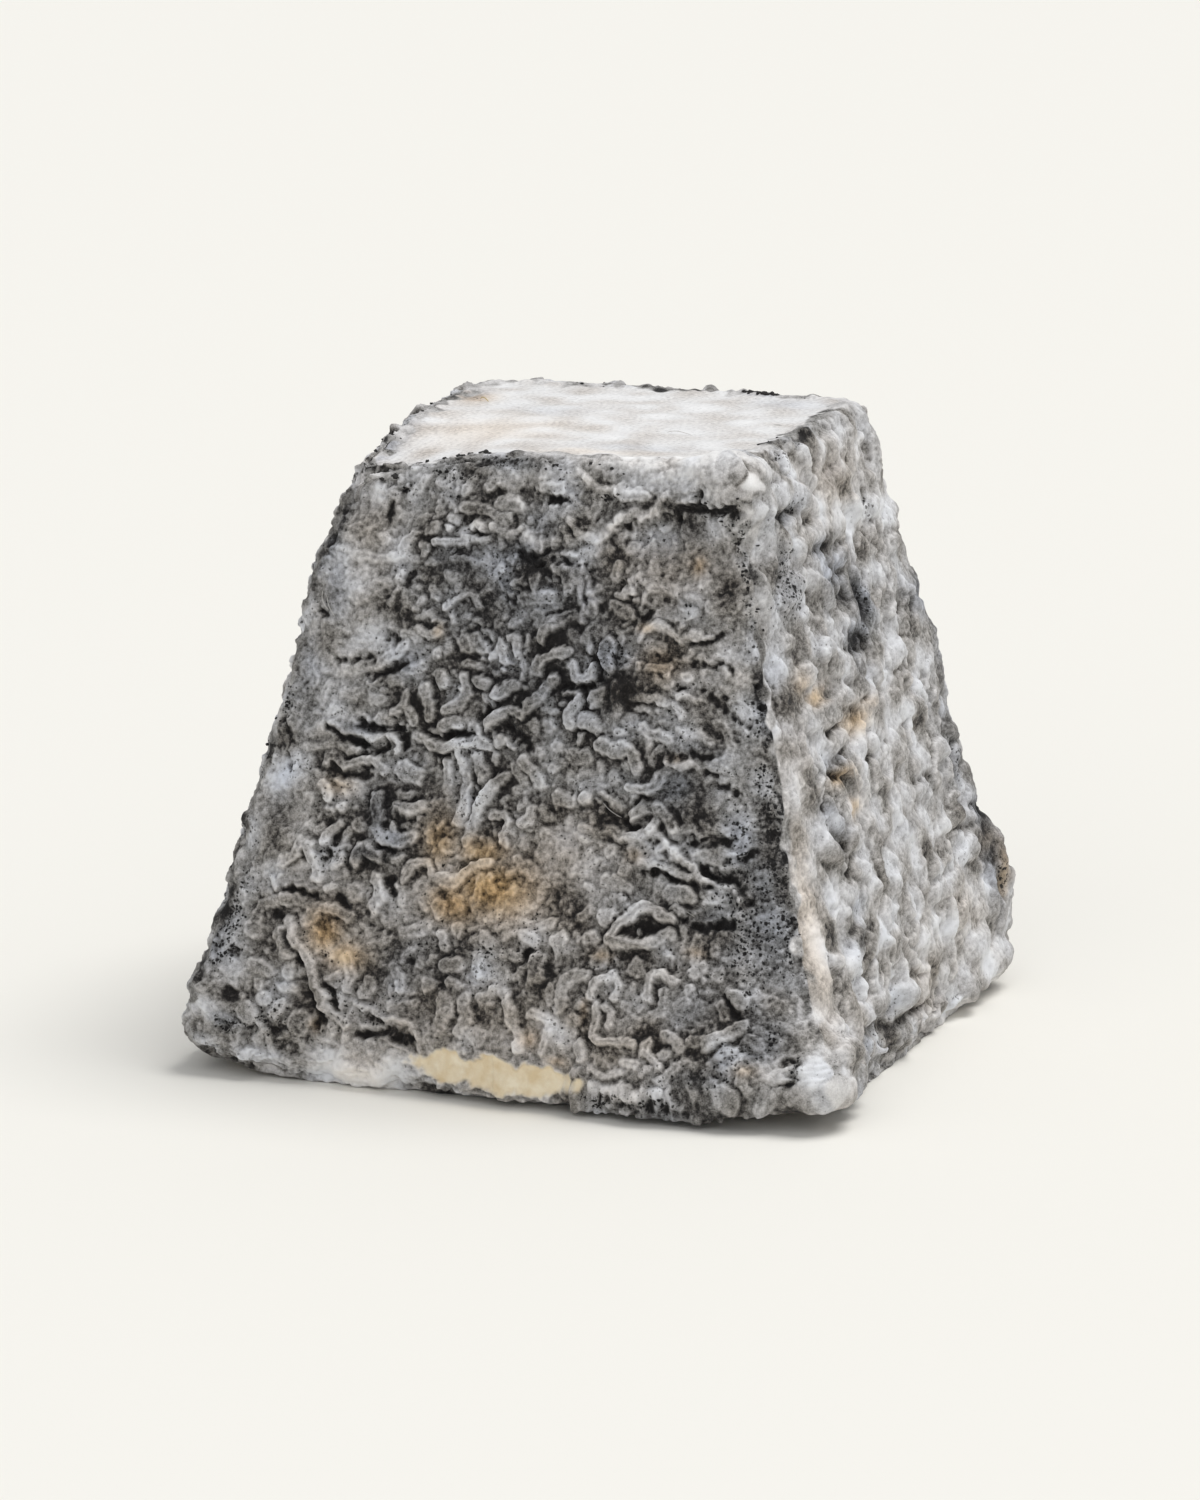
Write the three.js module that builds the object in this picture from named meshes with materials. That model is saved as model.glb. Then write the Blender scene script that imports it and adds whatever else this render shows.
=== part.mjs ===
// A ripened goat's cheese in the form of a cut-off pyramid: one solid piece, dusted with ash,
// with a wrinkled rind, standing on its square foot.
// Millimetres, +Z up. The origin is the middle of the box round the cheese, on the surface it stands on.
// The broad front face looks along -Y, and the whiter, draped face looks along +X.
import * as THREE from "three";
import { mergeVertices } from "three/addons/utils/BufferGeometryUtils.js";

// ---- driving dimensions of the moulded curd ----
const BASE_WIDTH = 73; // across the foot, where the sides would meet the surface it stands on
const TOP_WIDTH = 45.5; // across the top face, where the sides would meet it
const HEIGHT = 65.4;
const FOOT_RADIUS = 2.6; // the round under the foot's rim
const TOP_RADIUS = 2.4; // the round along the top face's rim
const CORNER_POWER = 13; // of the superellipse section: the higher, the sharper the upright edges

// ---- how the curd has sagged while it dried ----
const BELLY = 0.2; // the sides stand out this much at mid height
const FOOT_TUCK = 0.4; // the foot draws in this much
const FOOT_TUCK_HEIGHT = 9; // the tuck fades over about this height
const CORNER_CURL = 1.6; // the foot's corners have curled this far off the surface
const CORNER_CURL_START = 0.55; // of the way from the middle of a side to its corner
const CORNER_CURL_HEIGHT = 12; // the curl is gone this far up

// ---- the wrinkled rind ----
const FOLD_LENGTH = 5.6; // from one fold of the rind to the next
const FOLD_RISE = 0.65; // half the depth between a fold's crest and its valley
const FOLD_STEEPNESS = 1.2; // plump crests and narrow valleys
const FOLD_WAVES = 26; // plane waves that are summed into the folds
const FOLD_PHASE_STEP = 2.4; // spreads the waves' phases, so that no two folds look alike
const TOP_FOLD_SHARE = 0.25; // the top face lay against the mould's floor and is nearly smooth
const SIDE_ENDS_AT = 0.5; // the upward part of the normal where the side turns into the rim
const TOP_STARTS_AT = 0.95; // and where the rim turns into the top face

// ---- swellings (rise above 0) and dents (below 0): the middle, how far each reaches, and its rise ----
const SWELLINGS = [
  { at: [-20, -20, 70], reach: 11, rise: -3.3 }, // the front left corner of the top has slumped
  { at: [22, -22, 63], reach: 5.5, rise: 2.0 }, // the lip at the front right corner of the top
  { at: [14, -25, 58.5], reach: 3.4, rise: -1.9 }, // the crack under that lip
  { at: [20, -25, 57.5], reach: 3.6, rise: -1.9 },
  { at: [27, -27, 46], reach: 9, rise: -1.3 }, // the front right edge is worn back below the lip
  { at: [32, -32, 24], reach: 10, rise: -1.1 },
  { at: [36, -36, 4], reach: 6, rise: 3.3 }, // the plump near corner of the foot
  { at: [24, -38, 2], reach: 9, rise: 2.7 }, // the foot bellies out between it and the middle
  { at: [8, -38, 3], reach: 16, rise: 3.1 }, // and under the middle of the front face
  { at: [-5, -38, 3.3], reach: 5, rise: -0.8 }, // the bare strip low in the front face
  { at: [6, -39, 3.8], reach: 5, rise: -0.8 },
  { at: [-20, -38, 2], reach: 9, rise: -0.8 }, // the foot draws in left of the strip
  { at: [-36, -36, 9], reach: 6, rise: 2.0 }, // the front left corner of the foot
  { at: [-30, -30, 38], reach: 10, rise: -0.5 }, // the front left edge, a little worn
  { at: [-12, -31, 34], reach: 9, rise: -0.9 }, // the shallow dish in the front face
  { at: [27, 5, 50], reach: 8, rise: -1.1 }, // the hollow high in the draped face
  { at: [29, 29, 40], reach: 9, rise: 0.6 }, // the far right edge
  { at: [35, 35, 13], reach: 7, rise: 2.8 }, // the swelling low on it
  { at: [36, 36, 2], reach: 6, rise: -0.8 }, // the foot draws in under that swelling
  { at: [36, -10, 6.2], reach: 3.6, rise: -1.3 }, // the crease above the rolled foot of the draped face
  { at: [36, -1, 5.2], reach: 3.6, rise: -1.3 },
  { at: [35.5, 7, 4.4], reach: 3.4, rise: -1.0 },
  { at: [37, -15, 0], reach: 9, rise: -2.0 }, // the draped face's foot draws in
  { at: [37, 6, 0], reach: 9, rise: -1.2 },
  { at: [-34, 35, 7], reach: 9, rise: 1.3 }, // the hidden corner of the foot
  { at: [-30, 4, 40], reach: 10, rise: -0.8 }, // a shallow dish in the left face
  { at: [6, 32, 28], reach: 11, rise: -0.9 }, // and one in the back face
];

// ---- how finely the surface is faceted ----
const COLUMNS = 104; // round the cheese, a multiple of 8 so that every upright edge has a column
const UNDERSIDE_ROWS = 3;
const FOOT_ROWS = 3;
const SIDE_ROWS = 40;
const RIM_ROWS = 3;
const TOP_ROWS = 8;
const MERGE_DISTANCE = 1e-3; // points of the turned body closer than this are one point

const QUARTER_TURN = Math.PI / 2;

/** The upright profile from the middle of the underside, out and up the side, to the middle of the top. */
function profilePoints() {
  const lean = Math.atan2((BASE_WIDTH - TOP_WIDTH) / 2, HEIGHT);
  const footMiddle = new THREE.Vector2(BASE_WIDTH / 2 - FOOT_RADIUS, FOOT_RADIUS);
  const rimMiddle = new THREE.Vector2(TOP_WIDTH / 2 - TOP_RADIUS, HEIGHT - TOP_RADIUS);
  const foot = new THREE.EllipseCurve(
    footMiddle.x, footMiddle.y, FOOT_RADIUS, FOOT_RADIUS, -QUARTER_TURN, lean);
  const rim = new THREE.EllipseCurve(
    rimMiddle.x, rimMiddle.y, TOP_RADIUS, TOP_RADIUS, lean, QUARTER_TURN);
  const underside = new THREE.LineCurve(new THREE.Vector2(0, 0), foot.getPoint(0));
  const side = new THREE.LineCurve(foot.getPoint(1), rim.getPoint(0));
  const top = new THREE.LineCurve(rim.getPoint(1), new THREE.Vector2(0, HEIGHT));
  return [
    ...underside.getPoints(UNDERSIDE_ROWS),
    ...foot.getPoints(FOOT_ROWS).slice(1),
    ...side.getPoints(SIDE_ROWS).slice(1),
    ...rim.getPoints(RIM_ROWS).slice(1),
    ...top.getPoints(TOP_ROWS).slice(1),
  ];
}

/** Moves a point of a round body onto the square section: its angle becomes a place along one of the
 * four sides, and a superellipse rounds the corner between two sides. */
function squareOff(point) {
  const radius = Math.hypot(point.x, point.y);
  const angle = Math.atan2(point.y, point.x);
  const side = Math.round(angle / QUARTER_TURN);
  const along = (angle - side * QUARTER_TURN) / (QUARTER_TURN / 2);
  const reach = radius / (1 + Math.abs(along) ** CORNER_POWER) ** (1 / CORNER_POWER);
  const flat = new THREE.Vector2(reach, reach * along);
  flat.rotateAround(new THREE.Vector2(0, 0), side * QUARTER_TURN);
  point.set(flat.x, flat.y, point.z);
}

/** The plane waves of the folds: directions spread evenly over a sphere, each with its own phase. */
function foldWaves() {
  const goldenAngle = Math.PI * (3 - Math.sqrt(5));
  return Array.from({ length: FOLD_WAVES }, (_, i) => {
    const up = 1 - (2 * i + 1) / FOLD_WAVES;
    const level = Math.sqrt(1 - up * up);
    const turn = goldenAngle * i;
    return {
      direction: new THREE.Vector3(level * Math.cos(turn), level * Math.sin(turn), up),
      phase: FOLD_PHASE_STEP * i * i,
    };
  });
}

const waves = foldWaves();

/** The folds' height at a point, from -1 in a valley to 1 on a crest. */
function foldHeight(point) {
  const sum = waves.reduce(
    (total, { direction, phase }) =>
      total + Math.cos((2 * Math.PI * direction.dot(point)) / FOLD_LENGTH + phase),
    0,
  );
  return Math.tanh((FOLD_STEEPNESS * sum) / Math.sqrt(FOLD_WAVES / 2));
}

/** How far the swellings and dents together push the surface out at a point. */
function swell(point) {
  const middle = new THREE.Vector3();
  return SWELLINGS.reduce((total, { at, reach, rise }) => {
    const share = point.distanceTo(middle.set(...at)) / reach;
    return total + rise * Math.exp(-share * share);
  }, 0);
}

/** How far the sides have sagged out at a height: a belly at mid height, and a tuck at the foot. */
function sag(height) {
  const belly = BELLY * Math.sin((Math.PI * height) / HEIGHT);
  const tuck = FOOT_TUCK * Math.exp(-((height / FOOT_TUCK_HEIGHT) ** 2));
  return belly - tuck;
}

/** How far a point near a corner of the foot has curled up off the surface. */
function cornerCurl(point) {
  const towardsCorner = Math.min(Math.abs(point.x), Math.abs(point.y)) / (BASE_WIDTH / 2);
  const nearCorner = THREE.MathUtils.smoothstep(towardsCorner, CORNER_CURL_START, 1);
  const nearFoot = 1 - THREE.MathUtils.smoothstep(point.z, 0, CORNER_CURL_HEIGHT);
  return CORNER_CURL * nearCorner * nearFoot;
}

/** Where a point of the plain pyramid ends up: pushed along its normal by the folds, the swellings and
 * the sag, and curled up at the foot's corners. The underside is only pushed sideways. */
function ripen(point, normal) {
  const offTheUnderside = THREE.MathUtils.smoothstep(point.z, 0, FOOT_RADIUS);
  const ontoTheTop = THREE.MathUtils.smoothstep(normal.z, SIDE_ENDS_AT, TOP_STARTS_AT);
  const folds = FOLD_RISE * foldHeight(point) * THREE.MathUtils.lerp(1, TOP_FOLD_SHARE, ontoTheTop);
  const push = folds + swell(point) + sag(point.z) * (1 - ontoTheTop);
  const outwards = new THREE.Vector3(normal.x, normal.y, normal.z * offTheUnderside);
  const moved = point.clone().addScaledVector(outwards, push);
  moved.z = Math.max(moved.z + cornerCurl(point), 0);
  return moved;
}

/** Drops the triangles that merging has left without any area, such as those at the two poles. */
function dropEmptyTriangles(geometry) {
  const kept = [];
  const index = geometry.index.array;
  for (let i = 0; i < index.length; i += 3) {
    const [a, b, c] = index.slice(i, i + 3);
    if (a !== b && b !== c && c !== a) kept.push(a, b, c);
  }
  geometry.setIndex(kept);
}

/** The closed body that the profile makes when it is turned, with +Z up and its seam merged. */
function turnedGeometry() {
  const turned = new THREE.LatheGeometry(profilePoints(), COLUMNS, QUARTER_TURN / 2);
  turned.rotateX(QUARTER_TURN);
  turned.deleteAttribute("normal");
  turned.deleteAttribute("uv");
  const geometry = mergeVertices(turned, MERGE_DISTANCE);
  dropEmptyTriangles(geometry);
  return geometry;
}

/** The whole cheese: the turned body, squared off, then ripened, then centred over the origin. */
function cheeseGeometry() {
  const geometry = turnedGeometry();
  const position = geometry.getAttribute("position");
  const point = new THREE.Vector3();
  for (let i = 0; i < position.count; i += 1) {
    point.fromBufferAttribute(position, i);
    squareOff(point);
    position.setXYZ(i, point.x, point.y, point.z);
  }

  geometry.computeVertexNormals();
  const normals = geometry.getAttribute("normal");
  const normal = new THREE.Vector3();
  for (let i = 0; i < position.count; i += 1) {
    point.fromBufferAttribute(position, i);
    normal.fromBufferAttribute(normals, i);
    const moved = ripen(point, normal);
    position.setXYZ(i, moved.x, moved.y, moved.z);
  }
  geometry.computeVertexNormals();

  geometry.computeBoundingBox();
  const middle = geometry.boundingBox.getCenter(new THREE.Vector3());
  geometry.translate(-middle.x, -middle.y, 0);
  return geometry;
}

const ashenRind = new THREE.MeshStandardMaterial({ color: 0x8f8c89, roughness: 0.9, metalness: 0 });

const cheese = new THREE.Mesh(cheeseGeometry(), ashenRind);
cheese.name = "cheese";

const group = new THREE.Group();
group.add(cheese);

export default group;
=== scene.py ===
# A ripened goat's cheese in the form of a cut-off pyramid, dusted with ash, with a wrinkled, mouldy rind.
# Shapes are worked out in millimetres, +Z up, and MM turns them into metres when they become meshes.
# The broad front face looks along -Y, and the whiter, draped face looks along +X.
import math

import bpy
import numpy as np
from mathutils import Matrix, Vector


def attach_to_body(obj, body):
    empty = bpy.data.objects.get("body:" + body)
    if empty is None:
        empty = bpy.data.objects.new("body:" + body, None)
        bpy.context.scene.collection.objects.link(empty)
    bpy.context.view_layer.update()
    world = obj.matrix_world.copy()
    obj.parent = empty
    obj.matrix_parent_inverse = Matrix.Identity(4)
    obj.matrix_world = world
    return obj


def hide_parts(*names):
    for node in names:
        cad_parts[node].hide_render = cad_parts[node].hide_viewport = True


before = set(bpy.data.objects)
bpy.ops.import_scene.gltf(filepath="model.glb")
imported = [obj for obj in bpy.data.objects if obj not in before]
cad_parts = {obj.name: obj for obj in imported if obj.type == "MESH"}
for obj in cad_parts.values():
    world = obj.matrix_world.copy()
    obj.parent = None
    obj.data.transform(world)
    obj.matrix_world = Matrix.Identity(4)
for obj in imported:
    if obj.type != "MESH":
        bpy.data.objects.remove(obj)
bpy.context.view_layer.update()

# ---- The curd ----------------------------------------------------------------------------------------
# The white paste of the cheese. It was ladled into a mould in the form of a cut-off pyramid, turned out
# on to its broad foot, and has sagged, swollen and slumped unevenly while it ripened.

MM = 0.001
QUARTER = math.pi / 2
TINY = 1e-9  # keeps divisors and logarithms away from nought

BASE_WIDTH = 73.0  # across the foot, where the sides would meet the surface it stands on
TOP_WIDTH = 45.5  # across the top face, where the sides would meet it
HEIGHT = 65.4
FOOT_RADIUS = 2.6
TOP_RADIUS = 2.4
CORNER_POWER = 13  # of the superellipse section: the higher, the sharper the upright edges
ARC_POINTS = 40  # in each round of the profile

BELLY = 0.2  # the sides stand out this much at mid height
FOOT_TUCK = 0.4  # the foot draws in this much
FOOT_TUCK_HEIGHT = 9.0
CORNER_CURL = 1.6  # the foot's corners have curled this far off the surface
CORNER_CURL_START = 0.55  # of the way from the middle of a side to its corner
CORNER_CURL_HEIGHT = 12.0

FOLD_LENGTH = 5.6  # from one large fold of the rind to the next
FOLD_RISE = 0.65
FOLD_STEEPNESS = 1.2
FOLD_WAVES = 26
FOLD_PHASE_STEP = 2.4
TOP_FOLD_SHARE = 0.25  # the top face lay against the mould's floor and is nearly smooth
SIDE_ENDS_AT = 0.5  # the upward part of the normal where the side turns into the rim
TOP_STARTS_AT = 0.95  # and where the rim turns into the top face

# Swellings (rise above 0) and dents (below 0): the middle, how far each reaches, and its rise.
SWELLINGS = (
    ((-20, -20, 70), 11, -3.3),  # the front left corner of the top has slumped
    ((22, -22, 63), 5.5, 2.0),  # the lip at the front right corner of the top
    ((14, -25, 58.5), 3.4, -1.9),  # the crack under that lip
    ((20, -25, 57.5), 3.6, -1.9),
    ((27, -27, 46), 9, -1.3),  # the front right edge is worn back below the lip
    ((32, -32, 24), 10, -1.1),
    ((36, -36, 4), 6, 3.3),  # the plump near corner of the foot
    ((24, -38, 2), 9, 2.7),  # the foot bellies out between it and the middle
    ((8, -38, 3), 16, 3.1),  # and under the middle of the front face
    ((-5, -38, 3.3), 5, -0.8),  # the bare strip low in the front face
    ((6, -39, 3.8), 5, -0.8),
    ((-20, -38, 2), 9, -0.8),  # the foot draws in left of the strip
    ((-36, -36, 9), 6, 2.0),  # the front left corner of the foot
    ((-30, -30, 38), 10, -0.5),  # the front left edge, a little worn
    ((-12, -31, 34), 9, -0.9),  # the shallow dish in the front face
    ((27, 5, 50), 8, -1.1),  # the hollow high in the draped face
    ((29, 29, 40), 9, 0.6),  # the far right edge
    ((35, 35, 13), 7, 2.8),  # the swelling low on it
    ((36, 36, 2), 6, -0.8),  # the foot draws in under that swelling
    ((36, -10, 6.2), 3.6, -1.3),  # the crease above the rolled foot of the draped face
    ((36, -1, 5.2), 3.6, -1.3),
    ((35.5, 7, 4.4), 3.4, -1.0),
    ((37, -15, 0), 9, -2.0),  # the draped face's foot draws in
    ((37, 6, 0), 9, -1.2),
    ((-34, 35, 7), 9, 1.3),  # the hidden corner of the foot
    ((-30, 4, 40), 10, -0.8),  # a shallow dish in the left face
    ((6, 32, 28), 11, -0.9),  # and one in the back face
)

CURD_COLUMNS = 104
CURD_ROWS = 58
CURD_DEPTH = 2.2  # the rind is this thick over the curd
CURD_GRAIN = (900, 4)  # noise cells in a metre, and octaves
CURD_COLOURS = ((0.3, (0.70, 0.62, 0.47)), (0.7, (0.80, 0.74, 0.61)))
CURD_ROUGHNESS = 0.6


def smooth_step(x, low, high):
    """Rises smoothly from 0 at low to 1 at high."""
    t = np.clip((x - low) / (high - low), 0, 1)
    return t * t * (3 - 2 * t)


def profile_line():
    """The upright profile as a fine line of (reach, height), from the middle of the underside, round the
    foot, up the leaning side, round the rim and in to the middle of the top, and the length along it."""
    lean = math.atan2((BASE_WIDTH - TOP_WIDTH) / 2, HEIGHT)
    foot = np.linspace(-QUARTER, lean, ARC_POINTS)
    rim = np.linspace(lean, QUARTER, ARC_POINTS)
    reach = np.concatenate([
        [0],
        BASE_WIDTH / 2 - FOOT_RADIUS + FOOT_RADIUS * np.cos(foot),
        TOP_WIDTH / 2 - TOP_RADIUS + TOP_RADIUS * np.cos(rim),
        [0],
    ])
    height = np.concatenate([
        [0],
        FOOT_RADIUS + FOOT_RADIUS * np.sin(foot),
        HEIGHT - TOP_RADIUS + TOP_RADIUS * np.sin(rim),
        [HEIGHT],
    ])
    steps = np.hypot(np.diff(reach), np.diff(height))
    return np.concatenate([[0], np.cumsum(steps)]), reach, height


PROFILE_LENGTH, PROFILE_REACH, PROFILE_HEIGHT = profile_line()
FOOT_STARTS = BASE_WIDTH / 2 - FOOT_RADIUS  # length along the profile where the underside turns up
WHOLE_PROFILE = PROFILE_LENGTH[-1]
TOP_ENDS = WHOLE_PROFILE - (TOP_WIDTH / 2 - TOP_RADIUS)  # and where the rim meets the top face


def squared(turn):
    """A unit point on the square section for each angle: the angle becomes a place along the nearest
    side, and a superellipse rounds the corner between two sides."""
    side = np.round(turn / QUARTER)
    along = (turn - side * QUARTER) / (QUARTER / 2)
    reach = (1 + np.abs(along) ** CORNER_POWER) ** (-1 / CORNER_POWER)
    cos, sin = np.cos(side * QUARTER), np.sin(side * QUARTER)
    return reach * (cos - along * sin), reach * (sin + along * cos)


def plain_form(unit_x, unit_y, length):
    """Points of the plain pyramid: a unit point of the section, carried out to the profile's reach and up
    to its height at that length along the profile."""
    reach = np.interp(length, PROFILE_LENGTH, PROFILE_REACH)
    height = np.interp(length, PROFILE_LENGTH, PROFILE_HEIGHT)
    return np.stack(np.broadcast_arrays(unit_x * reach, unit_y * reach, height), axis=-1)


def grid_normals(points):
    """Unit normals of a grid of points: the cross product of its column and row directions."""
    normals = np.cross(np.gradient(points, axis=1), np.gradient(points, axis=0))
    return normals / np.maximum(np.linalg.norm(normals, axis=-1, keepdims=True), TINY)


def wave_sum(points, length, count, phase_step):
    """A sum of plane waves of one length, their directions spread evenly over a sphere by the golden
    angle, scaled to a spread of about 1."""
    index = np.arange(count)
    up = 1 - (2 * index + 1) / count
    level = np.sqrt(1 - up * up)
    turn = math.pi * (3 - math.sqrt(5)) * index
    directions = np.stack([level * np.cos(turn), level * np.sin(turn), up])
    phases = phase_step * index * index
    return np.cos(points @ directions * (2 * math.pi / length) + phases).sum(-1) / math.sqrt(count / 2)


def swell(points):
    """How far the swellings and dents push the surface out: a sum of Gaussian bumps round their middles."""
    total = np.zeros(points.shape[:-1])
    for middle, reach, rise in SWELLINGS:
        total += rise * np.exp(-((points - np.array(middle)) ** 2).sum(-1) / reach**2)
    return total


def ripened(points, normals, fold_rise):
    """Where points of the plain pyramid end up: pushed along their normals by the large folds, the
    swellings and the sag, and curled up at the foot's corners. The underside is only pushed sideways."""
    height = points[..., 2]
    off_the_underside = smooth_step(height, 0, FOOT_RADIUS)
    onto_the_top = smooth_step(normals[..., 2], SIDE_ENDS_AT, TOP_STARTS_AT)
    folds = np.tanh(FOLD_STEEPNESS * wave_sum(points, FOLD_LENGTH, FOLD_WAVES, FOLD_PHASE_STEP))
    folds *= fold_rise * (1 + (TOP_FOLD_SHARE - 1) * onto_the_top)
    belly = BELLY * np.sin(math.pi * height / HEIGHT)
    tuck = FOOT_TUCK * np.exp(-((height / FOOT_TUCK_HEIGHT) ** 2))
    push = folds + swell(points) + (belly - tuck) * (1 - onto_the_top)
    outwards = normals.copy()
    outwards[..., 2] *= off_the_underside
    moved = points + outwards * push[..., None]
    towards_corner = np.minimum(abs(points[..., 0]), abs(points[..., 1])) / (BASE_WIDTH / 2)
    near_foot = 1 - smooth_step(height, 0, CORNER_CURL_HEIGHT)
    moved[..., 2] += CORNER_CURL * smooth_step(towards_corner, CORNER_CURL_START, 1) * near_foot
    moved[..., 2] = np.maximum(moved[..., 2], 0)
    return moved


def build_object(name, points, faces, material):
    """A smooth mesh object from points in millimetres and arrays of faces of three or four corners."""
    mesh = bpy.data.meshes.new(name)
    corners = np.concatenate([f.ravel() for f in faces]).astype(np.int32)
    sizes = np.concatenate([np.full(len(f), f.shape[1]) for f in faces])
    starts = np.concatenate([[0], np.cumsum(sizes)[:-1]]).astype(np.int32)
    mesh.vertices.add(len(points))
    mesh.vertices.foreach_set("co", (points * MM).astype(np.float32).ravel())
    mesh.loops.add(len(corners))
    mesh.loops.foreach_set("vertex_index", corners)
    mesh.polygons.add(len(sizes))
    mesh.polygons.foreach_set("loop_start", starts)
    mesh.update(calc_edges=True)
    mesh.shade_smooth()
    mesh.materials.append(material)
    piece = bpy.data.objects.new(name, mesh)
    bpy.context.scene.collection.objects.link(piece)
    return piece


def ring_faces(rows, columns):
    """Faces of rings of points stacked between two poles: a fan at each pole, and quads that wrap round
    between rings. Point 0 is the lower pole, the last point the upper one."""
    column = np.arange(columns)
    after = (column + 1) % columns
    first = 1 + np.arange(rows - 1)[:, None] * columns
    quads = np.stack([first + column, first + after, first + columns + after, first + columns + column], -1)
    last_ring = 1 + (rows - 1) * columns
    top = np.full(columns, last_ring + columns)
    lower = np.stack([np.zeros(columns, int), 1 + after, 1 + column], -1)
    upper = np.stack([last_ring + column, last_ring + after, top], -1)
    return [quads.reshape(-1, 4), lower, upper]


def curd_grid():
    """The whole form as rings of points: the section turned in even steps, at even lengths along the
    profile, with the normals of the closed rings."""
    turn = QUARTER / 2 + np.arange(-1, CURD_COLUMNS + 1) * 4 * QUARTER / CURD_COLUMNS
    length = np.linspace(0, WHOLE_PROFILE, CURD_ROWS + 2)[1:-1, None]
    points = plain_form(*squared(turn), length)
    normals = grid_normals(points)
    return points[:, 1:-1], normals[:, 1:-1]


def middle_of_the_box():
    """The middle, in plan, of the box round the whole ripened form. The cheese is centred over it."""
    form = ripened(*curd_grid(), FOLD_RISE)
    return (form.min((0, 1)) + form.max((0, 1))) / 2 * (1, 1, 0)


MIDDLE = middle_of_the_box()


def noise_texture(nodes, coordinates, scale, detail, roughness=0.55):
    """A noise texture of so many cells in a metre of Object coordinates."""
    noise = nodes.new("ShaderNodeTexNoise")
    noise.inputs["Scale"].default_value = scale
    noise.inputs["Detail"].default_value = detail
    noise.inputs["Roughness"].default_value = roughness
    nodes.id_data.links.new(coordinates, noise.inputs["Vector"])
    return noise.outputs["Fac"]


def colour_ramp(nodes, value, stops):
    """A colour ramp through (place, colour) stops."""
    ramp = nodes.new("ShaderNodeValToRGB")
    elements = ramp.color_ramp.elements
    while len(elements) < len(stops):
        elements.new(0.5)
    for element, (place, colour) in zip(elements, stops):
        element.position = place
        element.color = (*colour, 1)
    nodes.id_data.links.new(value, ramp.inputs["Fac"])
    return ramp.outputs["Color"]


def curd_material():
    """Cream-white paste, dry and faintly grainy."""
    material = bpy.data.materials.new("goat_curd")
    material.use_nodes = True
    nodes, links = material.node_tree.nodes, material.node_tree.links
    shader = nodes["Principled BSDF"]
    place = nodes.new("ShaderNodeTexCoord").outputs["Object"]
    colour = colour_ramp(nodes, noise_texture(nodes, place, *CURD_GRAIN), CURD_COLOURS)
    links.new(colour, shader.inputs["Base Color"])
    shader.inputs["Roughness"].default_value = CURD_ROUGHNESS
    return material


def build_curd():
    """The curd: the ripened form without its folds, set in by the rind's thickness."""
    form = ripened(*curd_grid(), 0) - MIDDLE
    closed = np.concatenate([form[:, -1:], form, form[:, :1]], 1)
    inner = form - grid_normals(closed)[:, 1:-1] * CURD_DEPTH
    poles = inner[0].mean(0), inner[-1].mean(0)
    loose = np.concatenate([poles[:1], inner.reshape(-1, 3), poles[1:]])
    return build_object("curd", loose, ring_faces(CURD_ROWS, CURD_COLUMNS), curd_material())


curd = build_curd()
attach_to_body(curd, "root")
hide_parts("cheese")

# ---- The rind: its wrinkles --------------------------------------------------------------------------
# A skin of mould that grew faster than the curd beneath it and crumpled into plump, worm-like wrinkles.
# The wrinkles of each side are grown on a flat pattern, laid over the side from its foot to its rim.

CELL = 0.15  # side of a pattern cell
PATTERN_WIDE = 576  # cells, across a side
PATTERN_TALL = 540  # cells, up a side
PATTERN_BELOW = 5.0  # the pattern starts this far below the foot's round

pattern_across = (np.arange(PATTERN_WIDE) - PATTERN_WIDE / 2) * CELL
pattern_up = np.arange(PATTERN_TALL) * CELL - PATTERN_BELOW
pattern_x, pattern_z = np.meshgrid(pattern_across, pattern_up)
frequency_up = np.fft.fftfreq(PATTERN_TALL, CELL)[:, None]
frequency_across = np.fft.rfftfreq(PATTERN_WIDE, CELL)[None]


def filtered(field, response):
    """A periodic field after each of its waves is scaled by the response."""
    return np.fft.irfft2(np.fft.rfft2(field) * response, s=field.shape)


def blur(field, radius):
    """The field under a Gaussian of that radius in millimetres."""
    return filtered(field, np.exp(-2 * (math.pi * radius) ** 2 * (frequency_up**2 + frequency_across**2)))


def band(length, spread, drape=1.0):
    """Passes waves near one length. Drape stretches them upwards."""
    frequency = np.sqrt((frequency_up * drape) ** 2 + frequency_across**2)
    return np.exp(-((np.log(np.maximum(frequency, TINY) * length) / spread) ** 2))


def random_field(random, length, spread, drape=1.0):
    """Random waves near one length, scaled to a spread of 1."""
    field = filtered(random.standard_normal(pattern_x.shape), band(length, spread, drape))
    return field / field.std()


def patch(across, up, wide, tall, tilt=0):
    """A soft patch from 1 in its middle to 0: a Gaussian of that half width and half height, its top
    leaning to the left by so many degrees."""
    cos, sin = math.cos(math.radians(tilt)), math.sin(math.radians(tilt))
    x, z = pattern_x - across, pattern_z - up
    return np.exp(-(((x * cos + z * sin) / wide) ** 2) - ((z * cos - x * sin) / tall) ** 2)


def patches(table):
    """The strongest of several soft patches at each place: (strength, across, up, wide, tall, tilt)."""
    total = np.zeros(pattern_x.shape)
    for strength, *where in table:
        total = np.maximum(total, strength * patch(*where))
    return total


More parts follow.
